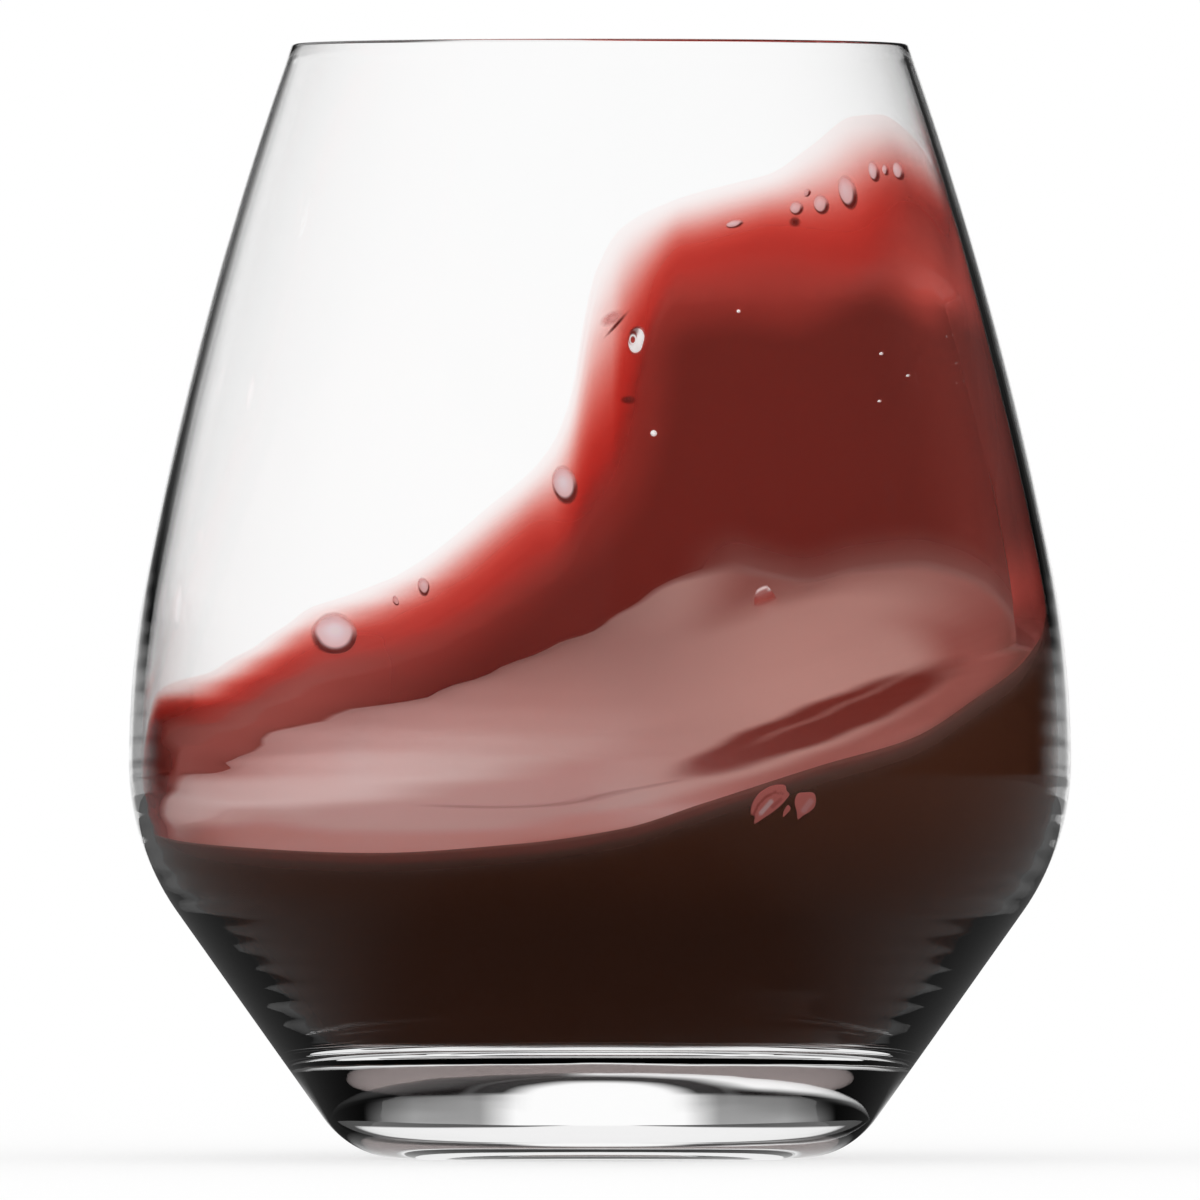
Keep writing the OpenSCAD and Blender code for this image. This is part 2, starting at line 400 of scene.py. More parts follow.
@dataclass
class GlassBowl:
    """Bowl, rim and thick base, one piece of clear glass."""

    height: float = 118.0
    rim_d: float = 65.5
    belly_d: float = 99.8
    belly_h: float = 42.0
    base_d: float = 42.2
    belly_curve: float = 105.0
    belly_rise: float = 20.0
    shoulder_r: float = 27.4
    foot_r: float = 10.0
    rim_wall: float = 0.9
    belly_wall: float = 1.25
    floor_h: float = 12.2
    floor_d: float = 58.0
    floor_r: float = 4.0
    inner_shoulder_r: float = 24.5
    punt_d: float = 35.0
    punt_depth: float = 0.8
    punt_power: float = 2.5
    # Points round the glass, and steps of the outline along the hollow under the foot, each outer
    # arc and the outer cone, the rim, each inner arc and the inner cone, and the floor
    turns: int = 320
    punt_n: int = 12
    outer_n: tuple[int, int] = (28, 14)
    rim_n: int = 12
    inner_n: tuple[int, int] = (32, 20)
    floor_n: int = 8
    # Rings left by the turning of the hot glass: depth, length of one ring along the wall, and
    # the heights between which they begin above the floor and weaken over the shoulder
    ring_depth: float = 0.015
    ring_length: float = 2.6
    ring_start: Span = Span(9, 17)
    ring_end: Span = Span(34, 54)
    ring_loss: float = 0.9
    # How their phase changes round the axis: size, number of waves and shift of each part
    ring_phase: tuple[tuple[float, int, float], ...] = ((1.1, 3, 0.6), (0.7, 7, 0.0))
    # Slower rings over them: length and depth against the others, and size and number of waves of
    # their phase
    slow_length: float = 3.7
    slow_depth: float = 0.8
    slow_phase: tuple[float, int] = (2.0, 2)

    @property
    def rim_h(self) -> float:
        """Height of the centre of the rounded rim."""
        return self.height - self.rim_wall / 2

    @property
    def outside(self) -> Side:
        """Outer side of the wall."""
        return Side.fitted(
            Circle(self.base_d / 2, self.foot_r, self.foot_r), self.belly_d / 2, self.shoulder_r,
            self.belly_curve, self.belly_h, self.belly_rise, (self.rim_d / 2, self.rim_h))

    @property
    def inside(self) -> Side:
        """Inner side of the wall."""
        return Side.fitted(
            Circle(self.floor_d / 2, self.floor_h + self.floor_r, self.floor_r),
            self.belly_d / 2 - self.belly_wall, self.inner_shoulder_r,
            self.belly_curve - self.belly_wall, self.belly_h, self.belly_rise,
            (self.rim_d / 2 - self.rim_wall, self.rim_h))

    def rings(self, points: Array, angle: Array) -> Array:
        """Depth of the turning rings: a wave along the outline with a slowly changing phase round
        the axis, strongest on the slanted lower wall and gone at the floor and the rim.

        Args:
            points: Outline of one side, distance from the axis and height.
            angle: Angles round the axis, as a column.

        Returns:
            Distance to take off the radius, one row for each angle.
        """
        length = np.concatenate([[0], np.cumsum(np.hypot(*np.diff(points, axis=0).T))])
        z = points[:, 1]
        strength = self.ring_start.at(z) * (1 - self.ring_loss * self.ring_end.at(z))
        phase = sum(size * np.sin(number * angle + shift)
                    for size, number, shift in self.ring_phase)
        wave = np.sin(TURN * length / self.ring_length + phase)
        slow_size, slow_number = self.slow_phase
        slow = np.sin(TURN * length / (self.slow_length * self.ring_length)
                      + slow_size * np.sin(slow_number * angle))
        return self.ring_depth * strength * (wave + self.slow_depth * slow)

    def build(self) -> bpy.types.Object:
        """Turns the closed outline: hollow under the foot, outer side, rounded rim, inner side
        and floor. The inner side carries the turning rings."""
        angle = (np.arange(self.turns) * TURN / self.turns)[:, None]
        under_r = np.linspace(0, self.punt_d / 2, self.punt_n + 1)[1:]
        hollow = self.punt_depth * (1 - (under_r / under_r[-1]) ** self.punt_power)
        under = np.stack([under_r, hollow], -1)
        outer = self.outside.points(*self.outer_n)
        rim = Circle(self.rim_d / 2 - self.rim_wall / 2, self.rim_h, self.rim_wall / 2)
        over = rim.arc(0, math.pi, self.rim_n)[1:-1]
        inner = self.inside.points(*self.inner_n)
        floor = np.linspace(inner[0], (0, inner[0, 1]), self.floor_n + 1)[1:-1]
        outline = np.concatenate([under, outer, over, inner[::-1], floor])
        radius = np.repeat(outline[None, :, 0], self.turns, 0)
        height = np.repeat(outline[None, :, 1], self.turns, 0)
        at = len(under) + len(outer) + len(over)
        radius[:, at:at + len(inner)] -= self.rings(inner, angle)[:, ::-1]
        made = turned_shell("glass_bowl", radius, height, self.punt_depth, self.floor_h)
        made.data.materials.append(clear_glass())
        return made


def clear_glass() -> bpy.types.Material:
    """Clear crystal: full transmission, with very faint streaks in its bump."""
    finish = Finish("crystal")
    finish.set(Base_Color=(1, 1, 1, 1), Roughness=0.0, IOR=1.5, Transmission_Weight=1.0,
               Specular_Tint=(0.25, 0.25, 0.25, 1))
    place = finish.add("TexCoord")
    turned = finish.add("Mapping", Vector=place.outputs["Object"], Scale=(60, 60, 14))
    streaks = finish.add("TexNoise", Vector=turned.outputs[0], Scale=1.0, Detail=2.0)
    bump = finish.add("Bump", Height=streaks.outputs[0], Strength=0.06, Distance=0.0004)
    finish.link(bump.outputs[0], "Normal")
    return finish.material


# ---------------------------------------------------------------- the wine


class Tone(Enum):
    """Colours of the wine's haze: its own reds and browns, a painted reflection on the pool, a
    painted dark reflection in a streak on it, painted shade along the wave's foot in the dark red,
    and painted light on its underside.
    """

    CLEAR = "ffffff"
    BRIGHT = "fa6b5f"
    DARK = "a2483f"
    # This and the next two: painted reflection of the white surroundings and the red wave on the
    # pool, paler on the left and redder on the right
    POOL_REFLECTION = "d8a49c"
    REFLECTION_LEFT = "ffd0cb"
    REFLECTION_RIGHT = "f6baaf"
    # A darker, duller patch of the pool's painted reflection at the front left
    SHORE = "cc8a84"
    FRONT = "d0796f"
    # Painted dark reflection in a ripple on the pool
    STREAK_REFLECTION = "93382e"
    RIM = "9a6458"
    BODY = "9c6048"
    # Painted light that the thick base gathers under the wine
    BASE_LIGHT = "ecdcda"


@dataclass(frozen=True)
class ReflectedStreak:
    """Dark streak on the pool before the wave's foot, a painted dark reflection in a ripple: a long
    lens with a paler line in it, and a thin line that trails from its front end round to the left."""

    # Middle of the lens, its turn in degrees, half its length and width, how far it lies to the
    # front of its own axis, and how sharp its border is
    x: float = 22.0
    y: float = -16.5
    turn_a: float = 39.8
    half_length: float = 21.0
    half_width: float = 9.5
    front: float = 1.0
    sharp: float = 3.0
    # The paler line: distance behind the axis, which is also half its width, where it begins
    # along the lens, and how much of the dark colour it loses
    line_back: float = 1.5
    line_start: Span = Span(-10, -2)
    line_share: float = 0.3
    # The trail: radius at its start, how much nearer to the axis it ends, over which angles it
    # goes there, half its width, its two ends and its strength
    trail_r: float = 31.0
    trail_in: float = 5.0
    trail_bend: Span = Span(-75, -135)
    trail_half: float = 1.1
    trail_start: Span = Span(-68, -78)
    trail_end: Span = Span(-142, -122)
    trail_share: float = 0.7

    def strength(self, x: Array, y: Array) -> Array:
        """Strength of the painted dark reflection: for the lens the eased distance inside an
        ellipse.

        Args:
            x: Distances to the right.
            y: Distances to the back.

        Returns:
            Strengths from 0 to 1.
        """
        c, s = math.cos(math.radians(self.turn_a)), math.sin(math.radians(self.turn_a))
        u = (x - self.x) * c + (y - self.y) * s
        v = (y - self.y) * c - (x - self.x) * s
        out = np.hypot(u / self.half_length, (v + self.front) / self.half_width)
        line = ease(1 - np.abs(v - self.line_back) / self.line_back) * self.line_start.at(u)
        lens = ease(self.sharp * (1 - out)) * (1 - self.line_share * line)
        r, a = np.hypot(x, y), np.degrees(np.arctan2(y, x))
        line_r = self.trail_r - self.trail_in * self.trail_bend.at(a)
        trail = ease(1 - np.abs(r - line_r) / self.trail_half)
        trail = trail * self.trail_start.at(a) * self.trail_end.at(a)
        return np.maximum(lens, self.trail_share * trail)


@dataclass(frozen=True)
class Haze:
    """Where the colours of the haze lie: angles in degrees, lengths in millimetres, and shares of
    the way from the axis to the fold."""

    # Angles of the wave's soft foot, of the wall seen edge-on at the right, and of the left
    soft_from: Span = Span(-40, -20)
    soft_to: Span = Span(80, 66)
    right_middle: float = 4.0
    right: Span = Span(34, 12)
    left: Span = Span(104, 148)
    # The dark red: depth below the wave's upper edge, depth below its own top, how far that top
    # stands above the line where the wave turns thick, the height, number and phase of the top's
    # waves, and how much weaker it is on the left
    dark_depth: Span = Span(5, 13)
    dark_below: Span = Span(0, 6)
    dark_up: float = 2.5
    dark_waves: tuple[tuple[float, float, float], ...] = ((1.5, 4.2, -60), (0.9, 11.0, 40))
    dark_left_loss: float = 0.5
    # The paler foot, where the pool's painted reflection runs up the face: height above the fold,
    # and on the left depth below the edge and strength
    foot_up: Span = Span(5, -5)
    foot_left_depth: Span = Span(2, 6)
    foot_left: float = 0.45
    # Clear liquid on the face, and what the dark red, the foot and the right wall take from it
    face_clear: float = 0.5
    dark_clear_loss: float = 0.2
    foot_clear_loss: float = 0.85
    right_clear_loss: float = 0.8
    # The pool's painted reflection, paler on the left where it shows the white surroundings and
    # redder on the right where it shows the wave, by the distance to the right
    reflection_left: Span = Span(-4, -32)
    reflection_right: Span = Span(2, 24)
    # The shade along the fold: reach, more reach about an angle, strength, and more strength
    shade_reach: float = 0.14
    shade_more_reach: float = 0.2
    shade_middle: float = 70.0
    shade_near: Span = Span(26, 0)
    shade: float = 0.5
    shade_more: float = 0.3
    shade_side: Span = Span(55, 70)
    # The duller shore at the front left, where the pool's painted reflection is darker, its
    # strength and how much gloss it loses
    shore_y: Span = Span(-2, -16)
    shore_x: Span = Span(10, -4)
    shore: float = 0.85
    shore_gloss_loss: float = 0.8
    # The redder band along the front, and the line at its rim
    front_share: Span = Span(0.74, 0.86)
    front_from: Span = Span(-178, -154)
    front_to: Span = Span(40, 0)
    rim_share: Span = Span(0.93, 1)
    rim_from: Span = Span(-175, -145)
    rim_to: Span = Span(10, -20)
    # On the wall: height above the fold, the damp line by the depth below the edge, the painted
    # light on the pale underside by the height above the floor, clear liquid, and what changes it
    above_fold: Span = Span(-2, 0)
    damp_depth: Span = Span(3, 0)
    base_light_up: Span = Span(1, 0.2)
    wall_clear: float = 0.6
    damp_clear_loss: float = 0.3
    above_clear_gain: float = 0.4
    above_right_loss: float = 0.8
    # How far the fading edge reaches past the wine's edge, and its depth against the sheet's
    edge_past: float = 0.2
    edge_stretch: float = 1.3


@dataclass
class Wine:
    """The pool, the wave that stands up the back right wall, and the thin sheet above it."""

    bowl: GlassBowl
    haze: Haze = Haze()
    reflected_streak: ReflectedStreak = ReflectedStreak()
    # Height of the pool on the axis, drop of the crest below the rim, and how far the tilted pool
    # rises to the right and to the back
    level: float = 45.0
    crest_drop: float = 7.5
    rise_right: float = 9.5
    rise_back: float = 10.2
    # Thickness of the sheet, of the dark wave and of its foot, the share of the wave's height
    # where it turns thick, and the depth of the sheet
    sheet_t: float = 1.2
    wave_t: float = 3.2
    toe_t: float = 3.8
    dark_top_share: float = 0.69
    sheet_depth: float = 4.0
    # Room to the wall, thickness of the edge, height of a bare meniscus, and the middle and half
    # the width of the thick foot in degrees
    wall_gap: float = 0.06
    edge_t: float = 0.02
    meniscus_h: float = 1.2
    toe_a: float = 30.0
    toe_half_a: float = 60.0
    # How far round the sheet's and the dark body's contours keep from the edge, in degrees, their
    # lowest places between the fold and the edge, and the thickness of a bare meniscus as a share
    # of the sheet's
    sheet_a: float = 5.0
    dark_a: float = 9.0
    sheet_low_share: float = 0.5
    dark_low_share: float = 0.3
    meniscus_share: float = 0.3
    # Depth of the fading edge as shares of the sheet's: everywhere, and what is added before the
    # steep front, under the crest and on the steep front
    fade_share: float = 1.25
    fade_more: tuple[Extra, ...] = (
        Extra(0.3, (Span(82, 72),)), Extra(1.6, (Span(62, 38), Span(-5, 10))),
        Extra(0.9, (Span(100, 92), Span(76, 84))))
    # The colours take the edge as level about this angle, at this share of the wave's height, and
    # look for the nearest edge this far each way, on a wall of this radius
    level_a: float = -4.0
    level_half_a: float = 12.0
    level_share: float = 0.93
    near_a: float = 20.0
    near_step_a: float = 0.8
    near_r: float = 43.0
    # Points round the wine, and of its outline along the floor, its corner, the cone, the wall,
    # the face and the pool
    turns: int = 400
    floor_n: int = 8
    corner_n: int = 20
    cone_n: int = 7
    wall_n: int = 49
    face_n: int = 80
    pool_n: int = 56
    # The wave's outline: angle in degrees, edge on the wall and fold below it as shares of the
    # wave's height
    outline: tuple[tuple[float, float, float], ...] = (
        (-170, -0.151, -0.171), (-145, -0.176, -0.195), (-120, -0.186, -0.205),
        (-100, -0.171, -0.191), (-87, -0.147, -0.166), (-77, -0.107, -0.127), (-62, -0.049, -0.068),
        (-48, -0.005, -0.024), (-37, 0.054, 0.034), (-22, 0.127, 0.103), (-13, 0.195, 0.137),
        (-8, 0.489, 0.156), (-4, 0.811, 0.171), (3, 0.899, 0.191), (14, 0.96, 0.23), (28, 1, 0.264),
        (37, 0.997, 0.274), (50, 0.947, 0.264), (59, 0.906, 0.244), (66, 0.89, 0.259),
        (71, 0.879, 0.274), (78, 0.86, 0.259), (86.5, 0.816, 0.2), (91, 0.738, 0.166),
        (92.8, 0.645, 0.156), (94.2, 0.547, 0.151), (97.2, 0.459, 0.137), (106, 0.362, 0.093),
        (114, 0.285, 0.059), (121, 0.241, 0.044), (131, 0.205, 0.024), (140, 0.147, 0),
        (152, 0.098, -0.054), (170, 0.068, -0.068), (180, -0.02, -0.098))

    @property
    def wave_h(self) -> float:
        """Height of the wave's crest above the level on the axis."""
        return self.bowl.height - self.crest_drop - self.level

    def share_z(self, share: Array) -> Array:
        """Height given as a share of the wave's height."""
        return self.level + self.wave_h * share

    def contour(self, angle: Array, column: int) -> Array:
        """Smooth curve through a column of the outline: cubic pieces whose slope at a row is the
        harmonic mean of the slopes beside it, or 0 at a turning point, so that it never
        overshoots.

        Args:
            angle: Angles in degrees.
            column: 1 for the edge, 2 for the fold.

        Returns:
            Shares of the wave's height.
        """
        rows = np.array(self.outline, float)
        at = np.concatenate([rows[:, 0], [rows[0, 0] + 360]])
        value = np.concatenate([rows[:, column], [rows[0, column]]])
        step = np.diff(at)
        slope = np.diff(value) / step
        before = np.roll(slope, 1)
        product = before * slope
        total = np.where(product > 0, before + slope, 1)
        tangent = np.where(product > 0, 2 * product / total, 0)
        tangent = np.append(tangent, tangent[0])
        a = (angle - at[0]) % 360 + at[0]
        i = np.clip(np.searchsorted(at, a, side="right") - 1, 0, len(step) - 1)
        s = (a - at[i]) / step[i]
        return (value[i] * (1 + 2 * s) * (1 - s) ** 2 + tangent[i] * step[i] * s * (1 - s) ** 2
                + value[i + 1] * s * s * (3 - 2 * s) - tangent[i + 1] * step[i] * s * s * (1 - s))

    def edge_z(self, angle: Array) -> Array:
        """Height of the wine's edge on the wall."""
        return self.share_z(self.contour(angle, 1))

    def fold_z(self, angle: Array) -> Array:
        """Height of the fold between the wave's face and the pool."""
        return np.minimum(self.share_z(self.contour(angle, 2)),
                          self.edge_z(angle) - self.meniscus_h)

    def low_edge_z(self, angle: Array, reach: float) -> Array:
        """Lowest edge within some degrees each way."""
        return np.min([self.edge_z(angle + reach * i / 2) for i in range(-2, 3)], axis=0)

    def standing(self, angle: Array) -> Array:
        """0 where the wine only has a meniscus, 1 where it stands up as a sheet."""
        return ease((self.edge_z(angle) - self.fold_z(angle)) / (2 * self.sheet_depth))

    def fade(self, angle: Array) -> Array:
        """Depth over which the sheet fades in below its edge, largest under the crest."""
        turn = (angle + 180) % 360 - 180
        more = sum(extra.at(turn) for extra in self.fade_more)
        return self.sheet_depth * (self.fade_share + more)

    def thickness(self, angle: Array, z: Array) -> Array:
        """Thickness of the wine on the wall: from the edge down to the foot of the thin sheet it
        grows to the sheet's, from there to the dark body it grows to the wave's, and from there
        to the fold it grows with the square of the depth to the foot's.

        Args:
            angle: Angles in degrees.
            z: Heights between the fold and the edge.

        Returns:
            Thicknesses, as large as the two together.
        """
        e, f, k = self.edge_z(angle), self.fold_z(angle), self.standing(angle)
        s = np.maximum(self.low_edge_z(angle, self.sheet_a) - self.fade(angle),
                       f + (e - f) * self.sheet_low_share)
        d = np.maximum(
            np.minimum(self.low_edge_z(angle, self.dark_a) - 2 * self.sheet_depth,
                       self.share_z(self.dark_top_share)),
            f + (e - f) * self.dark_low_share)
        turn = np.abs((angle - self.toe_a + 180) % 360 - 180)
        toe = np.cos(np.clip(turn / self.toe_half_a, 0, 1) * math.pi / 2) ** 2
        full = self.edge_t + (self.sheet_t - self.edge_t) * np.maximum(k, self.meniscus_share)
        deep = full + (self.wave_t - self.sheet_t) * k
        foot = np.maximum(deep + (self.toe_t - self.wave_t) * toe, self.meniscus_h)
        thin = self.edge_t + (full - self.edge_t) * np.clip((e - z) / (e - s), 0, 1) ** 2.2
        middle = full + (deep - full) * ease((s - z) / (s - d))
        low = deep + (foot - deep) * np.clip((d - z) / (d - f), 0, 1) ** 2
        return np.select([z >= s, z >= d], [thin, middle], low)

    def face_r(self, angle: Array, z: Array) -> Array:
        """Distance from the axis to the wine's inner face on the wall."""
        return self.bowl.inside.radius_at(z, self.wall_gap) - self.thickness(angle, z)

    def even(self, value: Callable[[Array], Array], angle: Array) -> Array:
        """Mean of a value over 30 degrees each way."""
        return np.mean([value(angle + d) for d in range(-30, 31, 5)], axis=0)

    def fold_r(self, angle: Array) -> Array:
        """Distance from the axis to the fold."""
        return self.face_r(angle, self.fold_z(angle))

    def pool_z(self, angle: Array, q: Array) -> Array:
        """Height of the pool's surface at share q of the way from the axis to the fold: with s
        the same distance as a share of the evened fold's, it is the level, plus s times a tilted
        plane, plus s³ times what is left up to the evened fold, plus q to the power 14 times what
        is then left up to the fold.

        Args:
            angle: Angles in degrees.
            q: Shares of the way to the fold.

        Returns:
            Heights.
        """
        a = np.radians(angle)
        plane = self.rise_right * np.cos(a) + self.rise_back * np.sin(a)
        rest = self.even(self.fold_z, angle) - self.level - plane
        scale = self.fold_r(angle) / self.even(self.fold_r, angle)

        def swell(s: Array) -> Array:
            """Height at share s of the way to the evened fold."""
            return self.level + s * plane + s ** 3 * rest

        return swell(q * scale) + q ** 14 * (self.fold_z(angle) - swell(scale))

    def below_edge(self, angle: Array, z: Array) -> Array:
        """Distance on the wall from the wave's upper edge, taken as level past the right side of
        the glass, where the edge drops behind the wall's own outline.

        Args:
            angle: Angles in degrees, as a column.
            z: Heights, one row for each angle.

        Returns:
            Distances, negative above the edge.
        """
        def edge(at: Array) -> Array:
            """Height of the edge, level on the right."""
            turn = (at + 180) % 360 - 180
            return np.where(np.abs(turn - self.level_a) < self.level_half_a,
                            self.share_z(self.level_share), self.edge_z(at))

        away = np.full(z.shape, np.inf)
        for turn in np.arange(-self.near_a, self.near_a + self.near_step_a / 2, self.near_step_a):
            along = math.radians(turn) * self.near_r
            away = np.minimum(away, np.hypot(along, edge(angle + turn) - z))
        return away * np.sign(edge(angle) - z)

    def rows(self, angle: Array) -> tuple[Array, Array, Array]:
        """Outline at every angle, from the floor up the wall, over the edge, down the face and
        in along the pool.

        Args:
            angle: Angles in degrees, as a column.

        Returns:
            Distances from the axis, heights, and shares of the way from the axis to the fold,
            which are above 1 on the face and 2 on the wall, with one row for each angle.
        """
        side, gap = self.bowl.inside, self.wall_gap
        e, f = self.edge_z(angle), self.fold_z(angle)
        even = self.bowl.floor_h + self.bowl.floor_r
        corner = side.foot.arc(-math.pi / 2, side.cone_a, self.corner_n, gap)
        floor = np.linspace((0, corner[0, 1]), corner[0], self.floor_n)[1:-1]
        fixed = np.concatenate([floor, corner])
        cone_z = np.linspace(corner[-1, 1], even, self.cone_n)[1:][None, :]
        wall_z = even + (e - even) * np.linspace(0, 1, self.wall_n)[1:][None, :]
        face_z = e + (f - e) * np.linspace(0, 1, self.face_n)[None, :]
        q = np.linspace(1, 0, self.pool_n)[1:-1][None, :]
        face_r = self.face_r(angle, face_z)
        ones = np.ones_like(angle)
        z = np.concatenate([ones * fixed[None, :, 1], ones * cone_z, wall_z, face_z,
                            self.pool_z(angle, q)], 1)
        r = np.concatenate([ones * fixed[None, :, 0], ones * side.radius_at(cone_z, gap),
                            side.radius_at(wall_z, gap), face_r, face_r[:, -1:] * q], 1)
        wall = fixed.shape[0] + cone_z.shape[1] + wall_z.shape[1]
        share = np.concatenate([2 * np.ones(wall), 1.5 * np.ones(face_z.shape[1]), q[0]])
        return r, z, ones * share[None, :]

    def paint(self, angle: Array, z: Array, q: Array) -> tuple[Array, Array, Array, Array]:
        """Colour of the wine's haze, and how clear, how dense and how glossy it is.

        The edge fades out. The face, the pool and the wall each have their own colours; on the pool
        they are a painted reflection, and on the wall's underside painted light.

        Args:
            angle: Angles in degrees, as a column.
            z: Heights.
            q: Shares of the way to the fold, as rows() gives them.

        Returns:
            Linear colours, shares of clear liquid, opacities and weights of the gloss.
        """
        deep, k = self.below_edge(angle, z), self.standing(angle)
        face, face_clear, foot = self.face_paint(angle, z, deep)
        pool, pool_gloss = self.pool_paint(angle, q)
        wall, wall_clear = self.wall_paint(angle, z, face)
        on_pool, on_face = q <= 1, (q > 1) & (q < 2)
        colour = np.where(on_pool[..., None], pool, np.where(on_face[..., None], face, wall))
        clear = np.where(on_pool, 0.0, np.where(on_face, face_clear, wall_clear))
        depth = self.haze.edge_stretch * self.fade(angle)
        thin = ease((deep + self.haze.edge_past) / depth)
        dense = np.where(on_pool, 1.0, 1 - k * (1 - thin))
        gloss = np.where(on_pool, pool_gloss, np.where(on_face, foot, 0.0))
        return colour, clear, dense, gloss

    def zones(self, angle: Array) -> tuple[Array, Array, Array]:
        """Shares of the wave's soft foot, of the edge-on wall at the right, and of the left."""
        haze, turn = self.haze, (angle + 180) % 360 - 180
        soft = haze.soft_to.at(turn) * haze.soft_from.at(turn)
        return soft, haze.right.at(np.abs(turn - haze.right_middle)), haze.left.at(np.abs(turn))

    def face_paint(self, angle: Array, z: Array, deep: Array) -> tuple[Array, Array, Array]:
        """Colour of the wave's face: bright red under the edge, dark red below a wavy line, and
        near the fold the pool's painted reflection, softly at the wave's foot and weakly on the
        left.

        Args:
            angle: Angles in degrees, as a column.
            z: Heights.
            deep: Distances below the wave's upper edge.

        Returns:
            Linear colours, shares of clear liquid, and shares of the pool's painted reflection.
        """
        haze, tones = self.haze, palette(Tone)
        soft, right, left = self.zones(angle)
        turn = (angle + 180) % 360 - 180
        waves = sum(height * np.sin(np.radians(number * turn + phase))
                    for height, number, phase in haze.dark_waves)
        top = self.share_z(self.dark_top_share) + haze.dark_up + waves
        dark = haze.dark_depth.at(deep) * haze.dark_below.at(top - z)
        dark = dark * (1 - haze.dark_left_loss * left)
        foot = np.maximum(soft * haze.foot_up.at(z - self.fold_z(angle)),
                          haze.foot_left * left * haze.foot_left_depth.at(deep))
        colour = blend(blend(tones[Tone.BRIGHT], tones[Tone.DARK], dark), tones[Tone.POOL_REFLECTION], foot)
        clear = ((haze.face_clear - haze.dark_clear_loss * dark)
                 * (1 - haze.foot_clear_loss * foot) * (1 - haze.right_clear_loss * right))
        return colour, clear, foot

    def pool_paint(self, angle: Array, q: Array) -> tuple[Array, Array]:
        """Colour of the pool, a painted reflection of the white surroundings and the wave: paler on
        the left and redder on the right, with a painted shade along the wave's foot, a duller,
        darker shore at the front left, a red band and a line along the front, and the dark streak,
        a painted dark reflection.

        Args:
            angle: Angles in degrees, as a column.
            q: Shares of the way to the fold.

        Returns:
            Linear colours, and weights of the gloss.
        """
        haze, tones = self.haze, palette(Tone)
        turn = (angle + 180) % 360 - 180
        r = self.fold_r(angle) * q
        x, y = r * np.cos(np.radians(angle)), r * np.sin(np.radians(angle))
        near = haze.shade_near.at(np.abs(turn - haze.shade_middle))
        reach = haze.shade_reach + haze.shade_more_reach * near
        shade = self.zones(angle)[0] * ease((q - 1 + reach) / reach)
        shade = shade * (haze.shade + haze.shade_more * haze.shade_side.at(turn))
        shore = haze.shore_y.at(y) * haze.shore_x.at(x)
        front = haze.front_to.at(turn) * haze.front_from.at(turn) * haze.front_share.at(q)
        rim = haze.rim_share.at(q) * haze.rim_to.at(turn) * haze.rim_from.at(turn)
        colour = tones[Tone.POOL_REFLECTION]
        for tone, share in ((Tone.REFLECTION_LEFT, haze.reflection_left.at(x)),
                            (Tone.REFLECTION_RIGHT, haze.reflection_right.at(x)),
                            (Tone.DARK, shade), (Tone.SHORE, haze.shore * shore),
                            (Tone.FRONT, front), (Tone.STREAK_REFLECTION, self.reflected_streak.strength(x, y)),
                            (Tone.RIM, rim)):
            colour = blend(colour, tones[tone], share)
        return colour, 1 - haze.shore_gloss_loss * shore

    def wall_paint(self, angle: Array, z: Array, face: Array) -> tuple[Array, Array]:
        """Colour of the wine on the wall: brown below the fold, with painted light on a pale
        underside and a line under a bare edge, and clear above it, but for the right, where it has
        the face's colour.

        Args:
            angle: Angles in degrees, as a column.
            z: Heights.
            face: Linear colours of the face at those places.

        Returns:
            Linear colours, and shares of clear liquid.
        """
        haze, tones = self.haze, palette(Tone)
        k, right = self.standing(angle), self.zones(angle)[1]
        above = haze.above_fold.at(z - self.fold_z(angle)) * k
        damp = (1 - k) * haze.damp_depth.at(self.edge_z(angle) - z)
        # Painted light on the underside, which the thick base gathers
        under = haze.base_light_up.at(z - self.bowl.floor_h)
        colour = blend(tones[Tone.BODY], tones[Tone.RIM], damp)
        colour = blend(colour, blend(tones[Tone.CLEAR], face, right), above)
        gain = (haze.above_clear_gain - haze.above_right_loss * right) * above
        clear = haze.wall_clear - haze.damp_clear_loss * damp + gain
        return blend(colour, tones[Tone.BASE_LIGHT], under), clear * (1 - under)

    def plane_at(self, angle: float, place: float,
                 on_pool: bool) -> tuple[Array, Array, Array, Array]:
        """Plane that touches the wine's free surface.

        Args:
            angle: Angle in degrees.
            place: Height as a share of the wave's height, or on the pool the share of the way
                from the axis to the fold.
            on_pool: True for a place on the pool.

        Returns:
            The point, and unit vectors to the right, up the surface and out of the wine.
        """
        def point(angle: float, place: float) -> Array:
            """Point of the surface."""
            a, turn = np.array(angle), math.radians(angle)
            if on_pool:
                r, z = self.fold_r(a) * place, self.pool_z(a, np.array(place))
            else:
                z = self.share_z(place)
                r = self.face_r(a, np.array(z))
            return np.array([float(r) * math.cos(turn), float(r) * math.sin(turn), float(z)])

        centre, step, inward_rise = point(angle, place), 0.02, 40
        across = point(angle + 1, place) - point(angle - 1, place)
        along = point(angle, place + step) - point(angle, place - step)
        out = np.cross(across, along)
        inward = np.array([-centre[0], -centre[1], inward_rise])
        out = out / np.linalg.norm(out) * (1 if out @ inward > 0 else -1)
        up = np.array([0, 0, 1]) - out[2] * out
        up = up / np.linalg.norm(up)
        return centre, np.cross(up, out), up, out

    def build(self) -> bpy.types.Object:
        """Builds the closed body of wine and paints its haze."""
        angle = (np.arange(self.turns) * 360 / self.turns)[:, None]
        r, z, q = self.rows(angle)
        made = turned_shell("wine_body", r, z, self.bowl.floor_h + self.wall_gap, self.level)
        colour, clear, dense, gloss = self.paint(angle, z, q)
